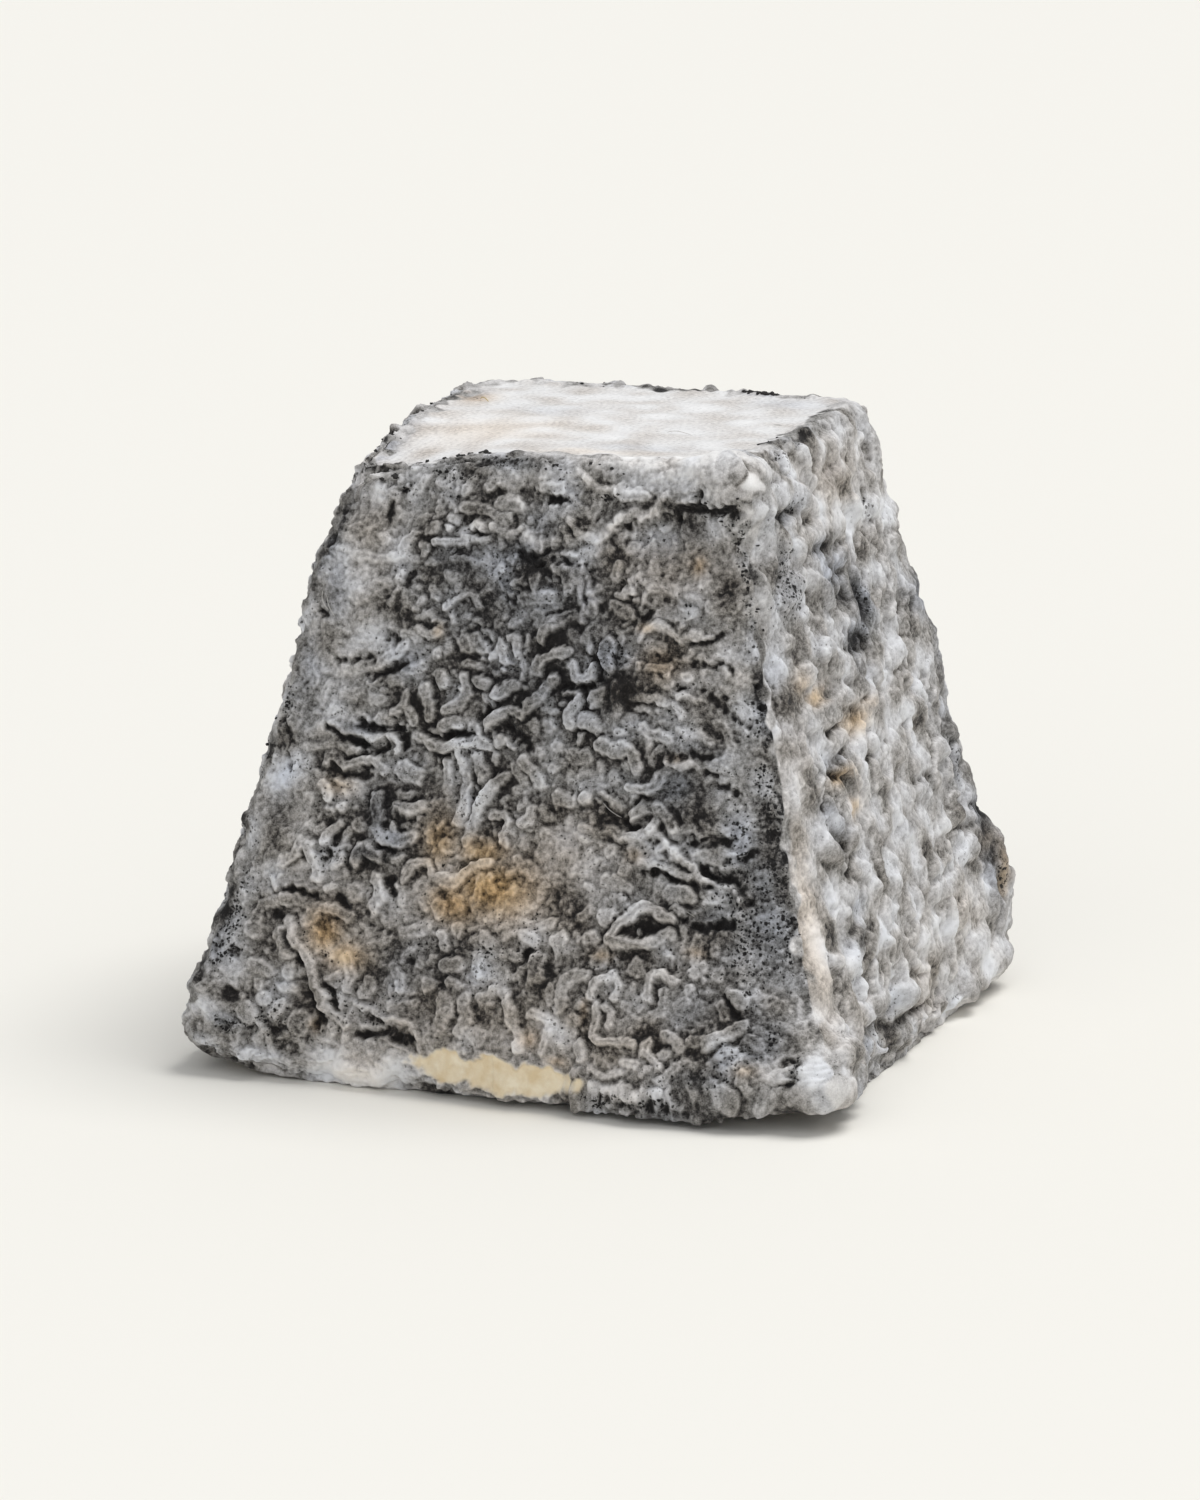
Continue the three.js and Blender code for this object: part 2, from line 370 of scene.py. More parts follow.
STROKE_REACH = 2.2  # a stroke is worked out this far past its edge
ANY_HEADING = (-90, 90)  # degrees
WORM_SHOULDER = 1.5  # a worm's crown is flat from this share of its half width inwards
WORM_BEND = 0.55  # radians from one joint to the next
WORM_JOINTS = 4
WORM_LENGTHS = (0.4, 1.3)  # shares of its kind's length, half width and height
WORM_WIDTHS = (0.7, 1.15)
WORM_HEIGHTS = (0.55, 1.15)
WORM_OVERLAP = 0.12  # a worm may press this far into those beside it
WORM_LEAST = 0.6  # no worm is thinner than this share of its kind


def brushed(points, half, wander):
    """A window of cells round a stroke, and how far each lies inside its edge in millimetres. A stroke is a
    round brush of that half width drawn from point to point, which the wander then bends."""
    corner = np.array((pattern_across[0], pattern_up[0]))
    low = np.floor((points.min(0) - half - STROKE_REACH - corner) / CELL).astype(int)
    high = np.ceil((points.max(0) + half + STROKE_REACH - corner) / CELL).astype(int)
    window = np.s_[max(low[1], 0):max(high[1], 0), max(low[0], 0):max(high[0], 0)]
    here = np.stack([pattern_x[window], pattern_z[window]], -1) + wander[window]
    nearest = np.full(here.shape[:2], STROKE_REACH + half)
    for start, end in zip(points, points[1:] if len(points) > 1 else points):
        line = end - start
        share = np.clip(((here - start) @ line) / max(line @ line, TINY), 0, 1)
        nearest = np.minimum(nearest, np.linalg.norm(here - start - share[..., None] * line, axis=-1))
    return window, half - nearest


def strokes(table, wander):
    """How far each place lies inside the nearest stroke's edge, and that stroke's height, for strokes
    written as (half width, height, across, up, across, up, ...)."""
    inside = np.full(pattern_x.shape, -STROKE_REACH)
    height = np.zeros(pattern_x.shape)
    for half, lift, *places in table:
        window, depth = brushed(np.array(places, float).reshape(-1, 2), half, wander)
        height[window] = np.where(depth > inside[window], lift, height[window])
        inside[window] = np.maximum(depth, inside[window])
    return inside, height


def round_profile(share):
    """A quarter circle: 0 at the edge of a wrinkle, rising steeply to 1 on its crest."""
    return np.sqrt(1 - (1 - np.clip(share, 0, 1)) ** 2)


def heading_for(random, across, up, flow):
    """A random direction, pulled towards the flow's: (pull, across, up, half width, half height, degrees)."""
    heading = random.uniform(*ANY_HEADING)
    for pull, x, z, wide, tall, degrees in flow:
        share = pull * math.exp(-(((across - x) / wide) ** 2) - ((up - z) / tall) ** 2)
        heading += share * (degrees - heading)
    return math.radians(heading)


def heap(random, worms, kinds, flow, wander):
    """Worm-like wrinkles heaped side by side: the drawn ones, then ever smaller random ones, each as plump
    as the room left between those already there allows. A kind is (how many to try, half width, length,
    height). Returns the height, how far inside a worm's edge each place lies, and its half width."""
    inside = np.full(pattern_x.shape, -STROKE_REACH)
    height = np.zeros(pattern_x.shape)
    plump = np.zeros(pattern_x.shape)

    def lay(points, half, lift):
        """One worm: it shows where it stands higher, or lies nearer, than those before it."""
        window, depth = brushed(points, half, wander)
        rise = lift * round_profile(WORM_SHOULDER * depth / half)
        wins = np.where((rise > 0) | (height[window] > 0), rise > height[window], depth > inside[window])
        for whole, value in ((inside, depth), (height, rise), (plump, half)):
            whole[window] = np.where(wins, value, whole[window])

    for half, lift, *places in worms:
        lay(np.array(places, float).reshape(-1, 2), half, lift)
    far = pattern_across[-1], pattern_up[-1]
    for count, half, length, lift in kinds:
        for middle in random.uniform((-far[0], pattern_up[0]), far, (count, 2)):
            turns = heading_for(random, *middle, flow) + np.cumsum(random.normal(0, WORM_BEND, WORM_JOINTS))
            directions = np.stack([np.cos(turns), np.sin(turns)], -1)
            steps = directions * length * random.uniform(*WORM_LENGTHS) / WORM_JOINTS
            points = middle + np.cumsum(steps, 0) - steps.sum(0) / 2
            columns = np.clip((points[:, 0] - pattern_across[0]) / CELL, 0, PATTERN_WIDE - 1).astype(int)
            rows = np.clip((points[:, 1] - pattern_up[0]) / CELL, 0, PATTERN_TALL - 1).astype(int)
            room = WORM_OVERLAP - inside[rows, columns].max()
            size = min(half * random.uniform(*WORM_WIDTHS), room)
            if size > half * WORM_LEAST:
                lay(points, size, lift * random.uniform(*WORM_HEIGHTS))
    return height, inside, plump


# The wrinkles that are drawn one by one: (half width, height, across, up, across, up, ...).
FRONT_WORMS = (
    (0.7, 1.1, 1.3, 46.3, 1.9, 47.6, 3.3, 48, 4.4, 48.5), (0.85, 1.2, 0.9, 42.7, 2.2, 44, 3.2, 45.6),
    (0.7, 1.1, 5.2, 47, 5.6, 45.8, 6.8, 46, 7.5, 47), (0.85, 1.1, -2.5, 43.8, -1, 44.6),
    (0.8, 0.8, -4.5, 44.9, -4, 44.7), (0.75, 0.9, 7.5, 43.3, 8.5, 44.5),
    (0.75, 0.9, 10.3, 45.3, 10.4, 42.8), (0.75, 1.1, 5.5, 41, 5.3, 42.2, 6.2, 43.6),
    (0.7, 0.9, 1.8, 49.8, 2.4, 51, 3.6, 51.6, 4.7, 52.4), (0.85, 0.6, -0.6, 53.6, 2.4, 54.1),
    (0.8, 1, 8.7, 49.5, 9.3, 47.2), (0.7, 0.8, 6.6, 52.7, 7, 53.2),
    (0.4, 0.8, 4.8, 50.6, 5.3, 49.9, 6.3, 50.3, 6.9, 49.2, 6.7, 48.6), (0.3, 0.8, 7.4, 52, 6.2, 50.2),
    (0.85, 0.8, -6.8, 48.8, -6.4, 48.2), (0.7, 0.8, -2.7, 48.8, -2.1, 47.2),
    (0.5, 0.7, -1.3, 49.3, -0.6, 47.8), (0.5, 0.8, -2.2, 46), (0.6, 0.7, -3.4, 47.6),
    (0.9, 0.9, 1, 65, 2.6, 65.3), (0.8, 0.6, -7.6, 62.6, -5.5, 62.5, -3.2, 61.7),
    (0.6, 0.7, -10.7, 58.9, -9, 58.8, -7.4, 58.9), (0.4, 0.8, 3.1, 61.3, 3.4, 60.2, 4, 59.6, 4.7, 59.9),
    (0.7, 0.8, 13, 55.6, 15.6, 55.5), (0.9, 0.5, 14.3, 53.2, 17.2, 53.2), (0.7, 0.6, 8.7, 53.5, 11, 52.8),
    (0.5, 0.8, 12.2, 50.3, 12.8, 51.3, 14.2, 51.8, 15.5, 51.2, 16.4, 50.5, 17.6, 50.9, 19.5, 51.1),
    (0.6, 0.5, 9.1, 56.6, 9.2, 57.8), (0.4, 0.6, 11, 56, 12, 56.8), (0.8, 0.5, 10.6, 59.6),
    (0.6, 0.5, 8.5, 59.2), (0.4, 0.6, 14.3, 59.8, 14.7, 57), (0.4, 0.6, 13, 59, 13.2, 57.5),
    (0.35, 0.6, 11.5, 58.7, 12.2, 60.3), (0.7, 0.7, 12.3, 47.6), (0.55, 0.7, 15.4, 46.7),
    (0.7, 0.7, 17.3, 46.8), (0.45, 0.7, 12, 44.3, 14.5, 44.4, 15.6, 43.7),
    (0.6, 0.7, 16.6, 43.8, 17.2, 42.9),
    (0.7, 0.9, -18.9, 57.1, -17.5, 56.6, -15.8, 56.9, -14.4, 57.3, -13.9, 58.7, -13.4, 59.6),
    (0.7, 1.1, -14.2, 55.2), (0.4, 0.9, -14.3, 55, -14.4, 53.8, -15, 52.2),
    (0.8, 0.6, -19.5, 52.9, -17.8, 52.9, -16.6, 54, -15.5, 54.4),
    (0.65, 1, -20.3, 44.8, -18.2, 45.5, -16.3, 45.7, -15, 46.5, -13.6, 47.7, -13, 48),
    (0.5, 0.7, -11.8, 49.8, -10.6, 49.2, -9.6, 49.6), (0.7, 0.7, -9.6, 47.5), (0.8, 0.6, -11.9, 58.1),
    (0.5, 0.6, -12, 60, -10.8, 60.3), (0.5, 0.7, -9.3, 60.4), (0.6, 0.6, -11.6, 52.7),
    (0.5, 0.8, -9, 52.3, -8, 53.3, -6.8, 53.8, -5.9, 53.6, -5.2, 52.4), (0.4, 0.6, -6.4, 51.4),
    (1, 0.9, -9.1, 45.3, -8.8, 44.6), (0.5, 0.7, -5.2, 54.2, -4.5, 54.8, -4, 56, -3.2, 56.8),
    (0.4, 0.8, -8.6, 57.3, -6.9, 57.5, -5.8, 57), (0.5, 0.7, -7.6, 59.5, -5, 59.5),
    (0.8, 0.9, -10.8, 43.6, -10.2, 42.2, -10.1, 41), (0.8, 1, -8.2, 41.7, -7, 42.4, -6.3, 43.4, -6.4, 45),
    (0.85, 0.9, -8.5, 39.9, -7.1, 40.3), (0.6, 0.9, -5.9, 41.5, -5.2, 40.6, -4.6, 39.8),
    (0.75, 1.2, -3.3, 40.5, -2.2, 41.5, -0.9, 42, 0.1, 41.9), (1, 0.9, 6.9, 41.6, 8.1, 41.1),
    (0.8, 0.8, 11, 40.6), (0.9, 0.6, 3.1, 40.8), (0.8, 0.8, 4.1, 38.7),
    (0.7, 1.1, -11.2, 38.7, -9.6, 38, -7.8, 37.8, -6.2, 38.5, -4.4, 38.8, -3.5, 38.2),
    (0.4, 1, -2.6, 38.8, -1.2, 39.1, -0.4, 38.2), (0.85, 1, 0.8, 36.9, 1.7, 36, 2.6, 35),
    (0.8, 0.9, -4.4, 37, -4.2, 36, -3.5, 35),
    (0.72, 1.1, -1.4, 35.4, -2.6, 33.6, -3.6, 32, -4.6, 29.8, -4.7, 28.1),
    (0.85, 0.9, -5.4, 34, -5.6, 32, -6, 30.2), (0.7, 0.8, -7.7, 36.2, -7.6, 34.6, -7.8, 33.2),
    (0.5, 0.8, -6.6, 37.7, -6, 36, -5.5, 34.5),
    (0.6, 0.9, -2.2, 31.2, -1, 31.4, -0.4, 30.6, -0.9, 29.4, -0.6, 28.2),
    (0.85, 0.9, 3.6, 29.8, 3.9, 28.8, 3.3, 27.7),
    (0.7, 1, -7.4, 24.4, -6.4, 24, -5.4, 24.3, -4.2, 25.5, -2.1, 26.4), (0.7, 0.8, -2, 24.6, -1.4, 23.4),
    (0.55, 0.8, -11.4, 24, -10.6, 25.6, -9.1, 25.7, -8.5, 24.5), (0.9, 0.7, 4.6, 33.5, 6.2, 33.3),
    (0.8, 0.9, 7.9, 33.6), (0.8, 0.9, 8.9, 39.3, 10.4, 38.6, 11.9, 39, 12.5, 38.5, 12.9, 37.3),
    (0.85, 0.8, 10.5, 35.9), (0.45, 0.8, 9.6, 34.3, 11.4, 33.1),
    (0.7, 0.8, 12.2, 35.2, 14.5, 35, 15.4, 36.2, 16.1, 36.9), (0.55, 0.7, 6.9, 30.2, 8.1, 29.2),
    (0.65, 0.9, 10.6, 30.5, 11.5, 30, 13.7, 30, 14.8, 31, 15.2, 31.8), (0.8, 0.7, 10.8, 28.5),
    (1, 0.7, 12.6, 26.6), (0.45, 0.9, 14, 27.7, 16, 27.4, 18, 26.8, 19.5, 26.3),
    (0.75, 1, 12.8, 32.2, 14, 33.3, 15.5, 33.1, 16.7, 32.2, 17.3, 31.4), (1, 0.8, 17.5, 24.8, 19.3, 24.6),
    (0.7, 0.9, 13.1, 41.4, 14, 40.7, 15.3, 40.5, 16.1, 40.3),
    (0.42, 1.1, -20.8, 39.4, -19.3, 38.8, -17, 38.3, -15, 38.2, -13.9, 38.7, -13.1, 37.9, -13.4, 37.1),
    (0.6, 0.9, -12.9, 43.2, -12.8, 42, -13.8, 41.1), (0.6, 0.8, -12.4, 41.2, -11.8, 40.2),
    (0.65, 1, -20.9, 35.3, -20.8, 36, -19.8, 35.9, -19, 35.4, -17, 35.6, -15.6, 35.9, -14.7, 35),
    (1.1, 0.7, -12.4, 35.1, -11, 34.7), (0.75, 1, -12.9, 31.2, -11.5, 31, -10, 31.5),
    (0.75, 1.1, -15.2, 32.2, -15, 30.6, -14.9, 28.9, -13.8, 28, -12.4, 27.5, -11.6, 28.2, -11, 28.5),
    (0.5, 0.8, -13.1, 29.2, -12.7, 28.5), (0.75, 0.8, -18.9, 30.8), (0.9, 0.7, -17, 29.1),
    (0.65, 1, -19.1, 29.1, -20.2, 27.9, -20.4, 27.4),
    (0.8, 1.1, -16.9, 25.4, -16.5, 26.5, -15.4, 26.8, -14.6, 26.1),
    (0.7, 0.8, -23, 27, -23.5, 25.6, -24.9, 24.9), (0.8, 0.8, -21.9, 26.6, -21.5, 25, -21, 23.5),
    (0.5, 0.7, -23.5, 36.8, -21.5, 37.1, -19.8, 37, -17.8, 36.9),
    (0.72, 1.1, -24, 18.6, -22.8, 17, -21.8, 15.4, -20.7, 14, -20.4, 12.2, -19.4, 10.6, -18, 9.1, -17,
     8.5), (0.8, 0.8, -21.9, 18.9, -20.5, 20.4, -19, 20.3, -17.2, 19.8),
    (0.8, 0.8, -24.3, 21, -22.6, 20.8, -21.4, 20.4), (0.8, 0.7, -27.6, 18.5, -27, 20, -25.6, 20.5),
    (1.2, 0.7, -27.8, 17.5), (1, 0.9, -24.6, 17.2, -23.5, 15.5), (1.2, 0.7, -29.8, 13.2),
    (1, 0.7, -27.2, 13.7, -25.9, 13.4), (1, 0.7, -23.6, 13.5), (0.8, 0.6, -26.5, 11.8),
    (0.7, 0.6, -24.2, 11.6, -22.9, 11.9), (0.8, 0.6, -24, 9.8, -25.1, 8.9), (1.5, 0.8, -27.8, 8.6),
    (0.9, 0.6, -26, 10.4), (1.5, 0.8, -22, 8.2), (0.8, 0.9, -14.4, 23.8, -13.9, 22.4, -14.5, 20.4),
    (1.1, 0.5, -16.6, 22.2),
    (0.38, 0.9, -16, 10.8, -14, 10, -12.4, 9.3, -10.5, 9.4, -9.2, 9, -8.4, 7.6, -8.2, 6.5),
    (0.25, 0.8, -15, 6.7, -12, 7.7), (0.3, 0.8, -11.8, 7.5, -10.2, 6.4, -8.5, 5.5),
    (1.1, 0.8, -7.3, 21.2), (0.8, 0.6, -5.2, 22), (0.9, 0.7, -4.9, 19.2),
    (0.8, 0.8, -6.7, 18.5, -6.3, 17.4), (0.9, 0.8, -5.9, 15.3, -4.6, 15.8),
    (0.7, 0.8, -2.3, 16.7, -2.2, 14.9), (0.7, 0.6, 0.5, 17.3, 2, 16.9), (0.9, 1, 4.2, 17, 4.2, 14.9),
    (0.9, 0.6, 6.1, 19, 6.6, 19), (0.8, 0.9, 7.2, 12, 7.2, 13.6, 8, 15.4, 9.7, 15.6),
    (0.75, 1.1, 0.7, 13.3, 1.7, 12, 2.1, 10.4, 2.8, 8.8, 3.3, 7.8),
    (1, 0.8, -5.6, 12, -5.5, 10.8, -6.1, 9.3), (0.95, 0.8, -3.4, 11.9, -3.2, 10.2, -3.7, 8.9),
    (0.7, 0.6, -1.6, 12.6, -1.1, 11.7), (1.2, 0.6, -1.8, 8.4), (0.5, 0.8, -0.9, 12.7, 0.1, 13.7),
    (0.6, 0.7, 6.6, 10.6, 6, 9, 5.6, 7.6), (0.7, 0.6, 4.2, 11.2, 6, 10.9), (0.8, 0.9, 9.5, 8.5, 9.9, 7.3),
    (0.6, 0.7, 8.8, 11.5, 9.3, 10.9), (1, 0.7, -7.8, 13.4), (0.7, 0.6, -9.3, 11.2), (0.9, 0.6, 6.7, 22.6),
    (0.7, 0.6, 8.3, 21.5, 9.2, 22.4), (0.9, 0.6, 9.6, 19.4), (1.1, 0.7, 11, 21.8),
    (0.65, 1.2, 11.4, 19.6, 12.9, 21.2, 14.4, 22.8, 15.6, 23, 17.1, 22.3, 18, 22.1),
    (0.72, 1.2, 11.6, 19.5, 13, 19.1, 15, 19.3, 16.6, 19.6, 17.4, 20.4, 18, 20.4),
    (0.9, 0.8, 14.8, 17.2, 14.9, 16.6), (0.6, 1, 16.3, 14, 16.3, 16, 17.5, 16.4, 19, 15.8),
    (0.9, 0.7, 21, 16.8, 21.7, 17.2), (0.8, 0.6, 23.3, 16.8), (0.8, 0.6, 20.6, 15),
    (0.6, 0.9, 10.5, 13.7, 11.2, 15.3, 12.7, 15.8, 13.3, 15, 13, 13.8),
    (0.6, 0.9, 11, 12.7, 11.2, 11, 11.1, 9.5, 12.4, 9.1, 14.4, 9.2, 15.6, 9.1),
    (0.85, 0.8, 24.9, 14.9, 26.2, 14.2), (0.7, 0.7, 23.8, 13.6, 24.9, 12.8),
    (0.72, 1.1, 21.6, 9.9, 23.2, 9.6, 25, 10.6, 26.7, 11.7), (0.8, 0.8, 18.9, 10.2, 20.4, 9.2),
    (0.6, 0.9, 16.9, 9.2, 16.8, 8.3, 18.4, 7.2), (0.6, 0.6, 14.6, 7.2, 16, 7.2),
    (0.5, 0.6, 20.9, 7.7, 22.4, 7.5), (1.2, 0.8, 21, 29.2, 23.5, 28.4), (0.9, 0.6, 19.5, 54, 21.8, 54.4),
)
FRONT_RIDGES = (
    (0.16, 1.2, 5.9, 51.6, 5.5, 54.5, 5.1, 56.2, 4.6, 57.1, 2.6, 57, 1.7, 57.4, 1.7, 58.1, 3.3, 58.2,
     3.9, 58.7, 4.6, 58.5), (0.16, 0.9, 5.2, 57.6, 5.9, 56.4, 6.5, 54.6, 7.5, 53.9),
    (0.22, 1.2, 3.9, 62, 4.6, 60.8, 5.8, 60.2, 7.3, 60.1, 7.8, 61.3, 8.9, 62.5, 10.3, 62.9, 11.6, 63.1,
     12.8, 63.5, 13.2, 64),
    (0.25, 0.9, -7.8, 60.3, -6, 61, -4, 60.5, -2, 60.2, -1.1, 60.9, -0.5, 59.6, 1, 59.3, 2.2, 59.8),
    (0.24, 1.3, 14.8, 31.2, 16.5, 29.8, 18.2, 28.5, 19.6, 27.2, 21, 26.2, 22.8, 25.8, 24.3, 25.5, 25.2,
     24.6), (0.2, 0.9, 17.2, 30.6, 18.5, 31.4, 19.4, 31.4), (0.15, 0.9, 16, 37.9, 18, 37.6, 19.3, 37.8),
    (0.16, 0.8, 13.8, 40, 14, 38.6, 14.6, 37.7), (0.2, 1, 4.6, 66.8, 6.2, 65.6, 8.2, 65.2),
    (0.2, 0.8, -4, 65.2, -2.6, 64.2, -1.2, 62.8), (0.16, 0.8, -12.2, 50.9, -11, 51.5, -10, 50.9),
    (0.18, 0.9, 11.2, 4.7, 14, 4.3, 17, 4.5, 20, 4.2),
)
FRONT_CRACKS = (
    (0.3, 0.9, 1.5, 63.9, 3, 63.8), (0.2, 0.7, 0.9, 64.5), (0.6, 0.9, 12.7, 53),
    (0.4, 1, 15, 64, 15.1, 62.8), (0.4, 1, 15.5, 63.9, 18, 63.7, 21, 63.5),
    (0.2, 1, 16.9, 65.3, 17, 63.6), (0.3, 0.6, 10.2, 61.7, 10.4, 61.4), (0.2, 0.6, 11.8, 62.2),
    (0.25, 0.6, 12.6, 62.4), (0.2, 0.6, 8.9, 61.6),
    (0.25, 0.9, -21, 39.1, -19.5, 38.2, -17.5, 37.5, -15.5, 37.1, -14.6, 37.3),
    (0.25, 0.8, -18, 39.8, -16, 39.5, -13.2, 39.4, -12.5, 38.6, -12.7, 37.4),
    (0.35, 1, -8.2, 39, -6.6, 39.2, -5.2, 39.3), (0.3, 0.9, -1.2, 40.6, 0.2, 39.6, 1.1, 38.3),
    (0.25, 0.8, -4, 41.2, -3.3, 42.5), (0.4, 0.9, 0.2, 58.1, -1, 58, 0.8, 57.3),
    (0.25, 0.8, 7.3, 48, 8, 47.6, 8.1, 46), (0.3, 0.9, 4.6, 44.9, 6, 44.8, 7.4, 45.4),
    (0.2, 0.6, -20.4, 45.9, -18, 46.3, -16.6, 46.1), (0.25, 0.7, -17, 44.4, -15.5, 44.9, -13, 46),
    (0.3, 0.6, -13.3, 54.2, -13, 55.4), (0.3, 0.7, -15.2, 48.9, -14.2, 48.6),
    (0.2, 0.5, -23, 51, -22.4, 50.4), (0.25, 0.6, -14.9, 64), (0.3, 0.6, -16.2, 62.4, -16, 61.4),
    (0.2, 0.6, 17, 50.4, 19, 50.3, 20.8, 51.2), (0.2, 0.7, 18, 48, 20, 48.3, 22, 47.8),
    (0.2, 0.7, 16.6, 45.6, 20, 44.9, 21.8, 43.6), (0.22, 0.6, 21.3, 44.9, 22.2, 43.2, 24.3, 42.2),
    (0.3, 1, 20.4, 27.4, 22, 26.4, 24, 26.4, 25.6, 24.4), (0.2, 0.8, 14.8, 26.5, 16.4, 26.6, 17.8, 26.2),
    (0.25, 0.7, 20.3, 25.6), (0.22, 0.7, 21.9, 25.2), (0.2, 0.7, 24.2, 24.9), (0.2, 0.5, 14.8, 32.9),
    (0.3, 0.7, 19.3, 30, 21.9, 29.8, 23.4, 30.5), (0.3, 0.8, 24.4, 28.4, 26.2, 29.6),
    (0.3, 0.5, 23.2, 28.3), (0.25, 0.6, 13, 33.7, 14.4, 33.9), (0.25, 0.6, 12, 31.4, 14, 31),
    (0.25, 0.6, 16.5, 38.4, 18, 38.3), (0.25, 0.6, 18.4, 39, 21, 38.8), (0.25, 0.6, 20, 37.2, 21.4, 36.9),
    (0.2, 0.6, 22, 35.7, 24, 35.3), (0.25, 0.7, -19.9, 26.2, -20.4, 25.2),
    (0.25, 0.6, -18.8, 28.3, -19.3, 27.2), (0.2, 0.6, -26.2, 38.9, -25.5, 37.6),
    (0.2, 0.6, -26, 35.6, -25.1, 34.9), (0.2, 0.6, -19, 34.4, -16.6, 34.3),
    (0.2, 0.7, -14.4, 27.2, -13, 26.6), (0.2, 0.8, -24.1, 17.5, -22.7, 14.9, -22, 13.9),
    (0.2, 0.7, -21.3, 11.7, -20.2, 9.8, -19.4, 8.5), (0.2, 0.7, -19.5, 12.1, -17.7, 9.9),
    (0.3, 0.7, -24.1, 21.9, -22.4, 21.7, -20.9, 20.9), (0.5, 0.7, -25, 19.2),
    (0.3, 0.8, -18.5, 21.4, -17.4, 20.8), (0.3, 0.9, -13, 23.8, -12.4, 22.4), (0.6, 0.6, -29.5, 14.8),
    (0.7, 0.6, -29.6, 10.3), (0.7, 0.6, -24.6, 6.8), (0.5, 0.6, -20, 8.3),
    (0.3, 0.8, -15.4, 7.4, -13.5, 7.4, -11.8, 8.2), (0.5, 0.9, -11, 8, -9.6, 7.4),
    (0.25, 0.5, -15, 9.7, -13, 9), (0.45, 0.8, 2.8, 17.4), (0.25, 0.7, 24.2, 14.4, 26.3, 12.4),
    (0.4, 0.9, 20.8, 21.2, 22, 21.6, 24.4, 22), (0.25, 0.7, 19.3, 22.2), (0.5, 0.5, 15, 21, 16.4, 20.9),
    (0.2, 0.7, 31.2, 8.2, 31.9, 7.2, 31.9, 6, 31.2, 5.2), (0.4, 0.6, 30.8, 7.4), (0.3, 0.5, -9.9, 15.6),
    (0.25, 0.6, 6.8, 44.6, 7, 42.9), (0.3, 0.8, 25.3, 46.4), (0.3, 0.6, 25.6, 44),
    (0.15, 0.6, 12, 3.9, 15, 3.8, 18, 3.9, 22, 3.7),
)

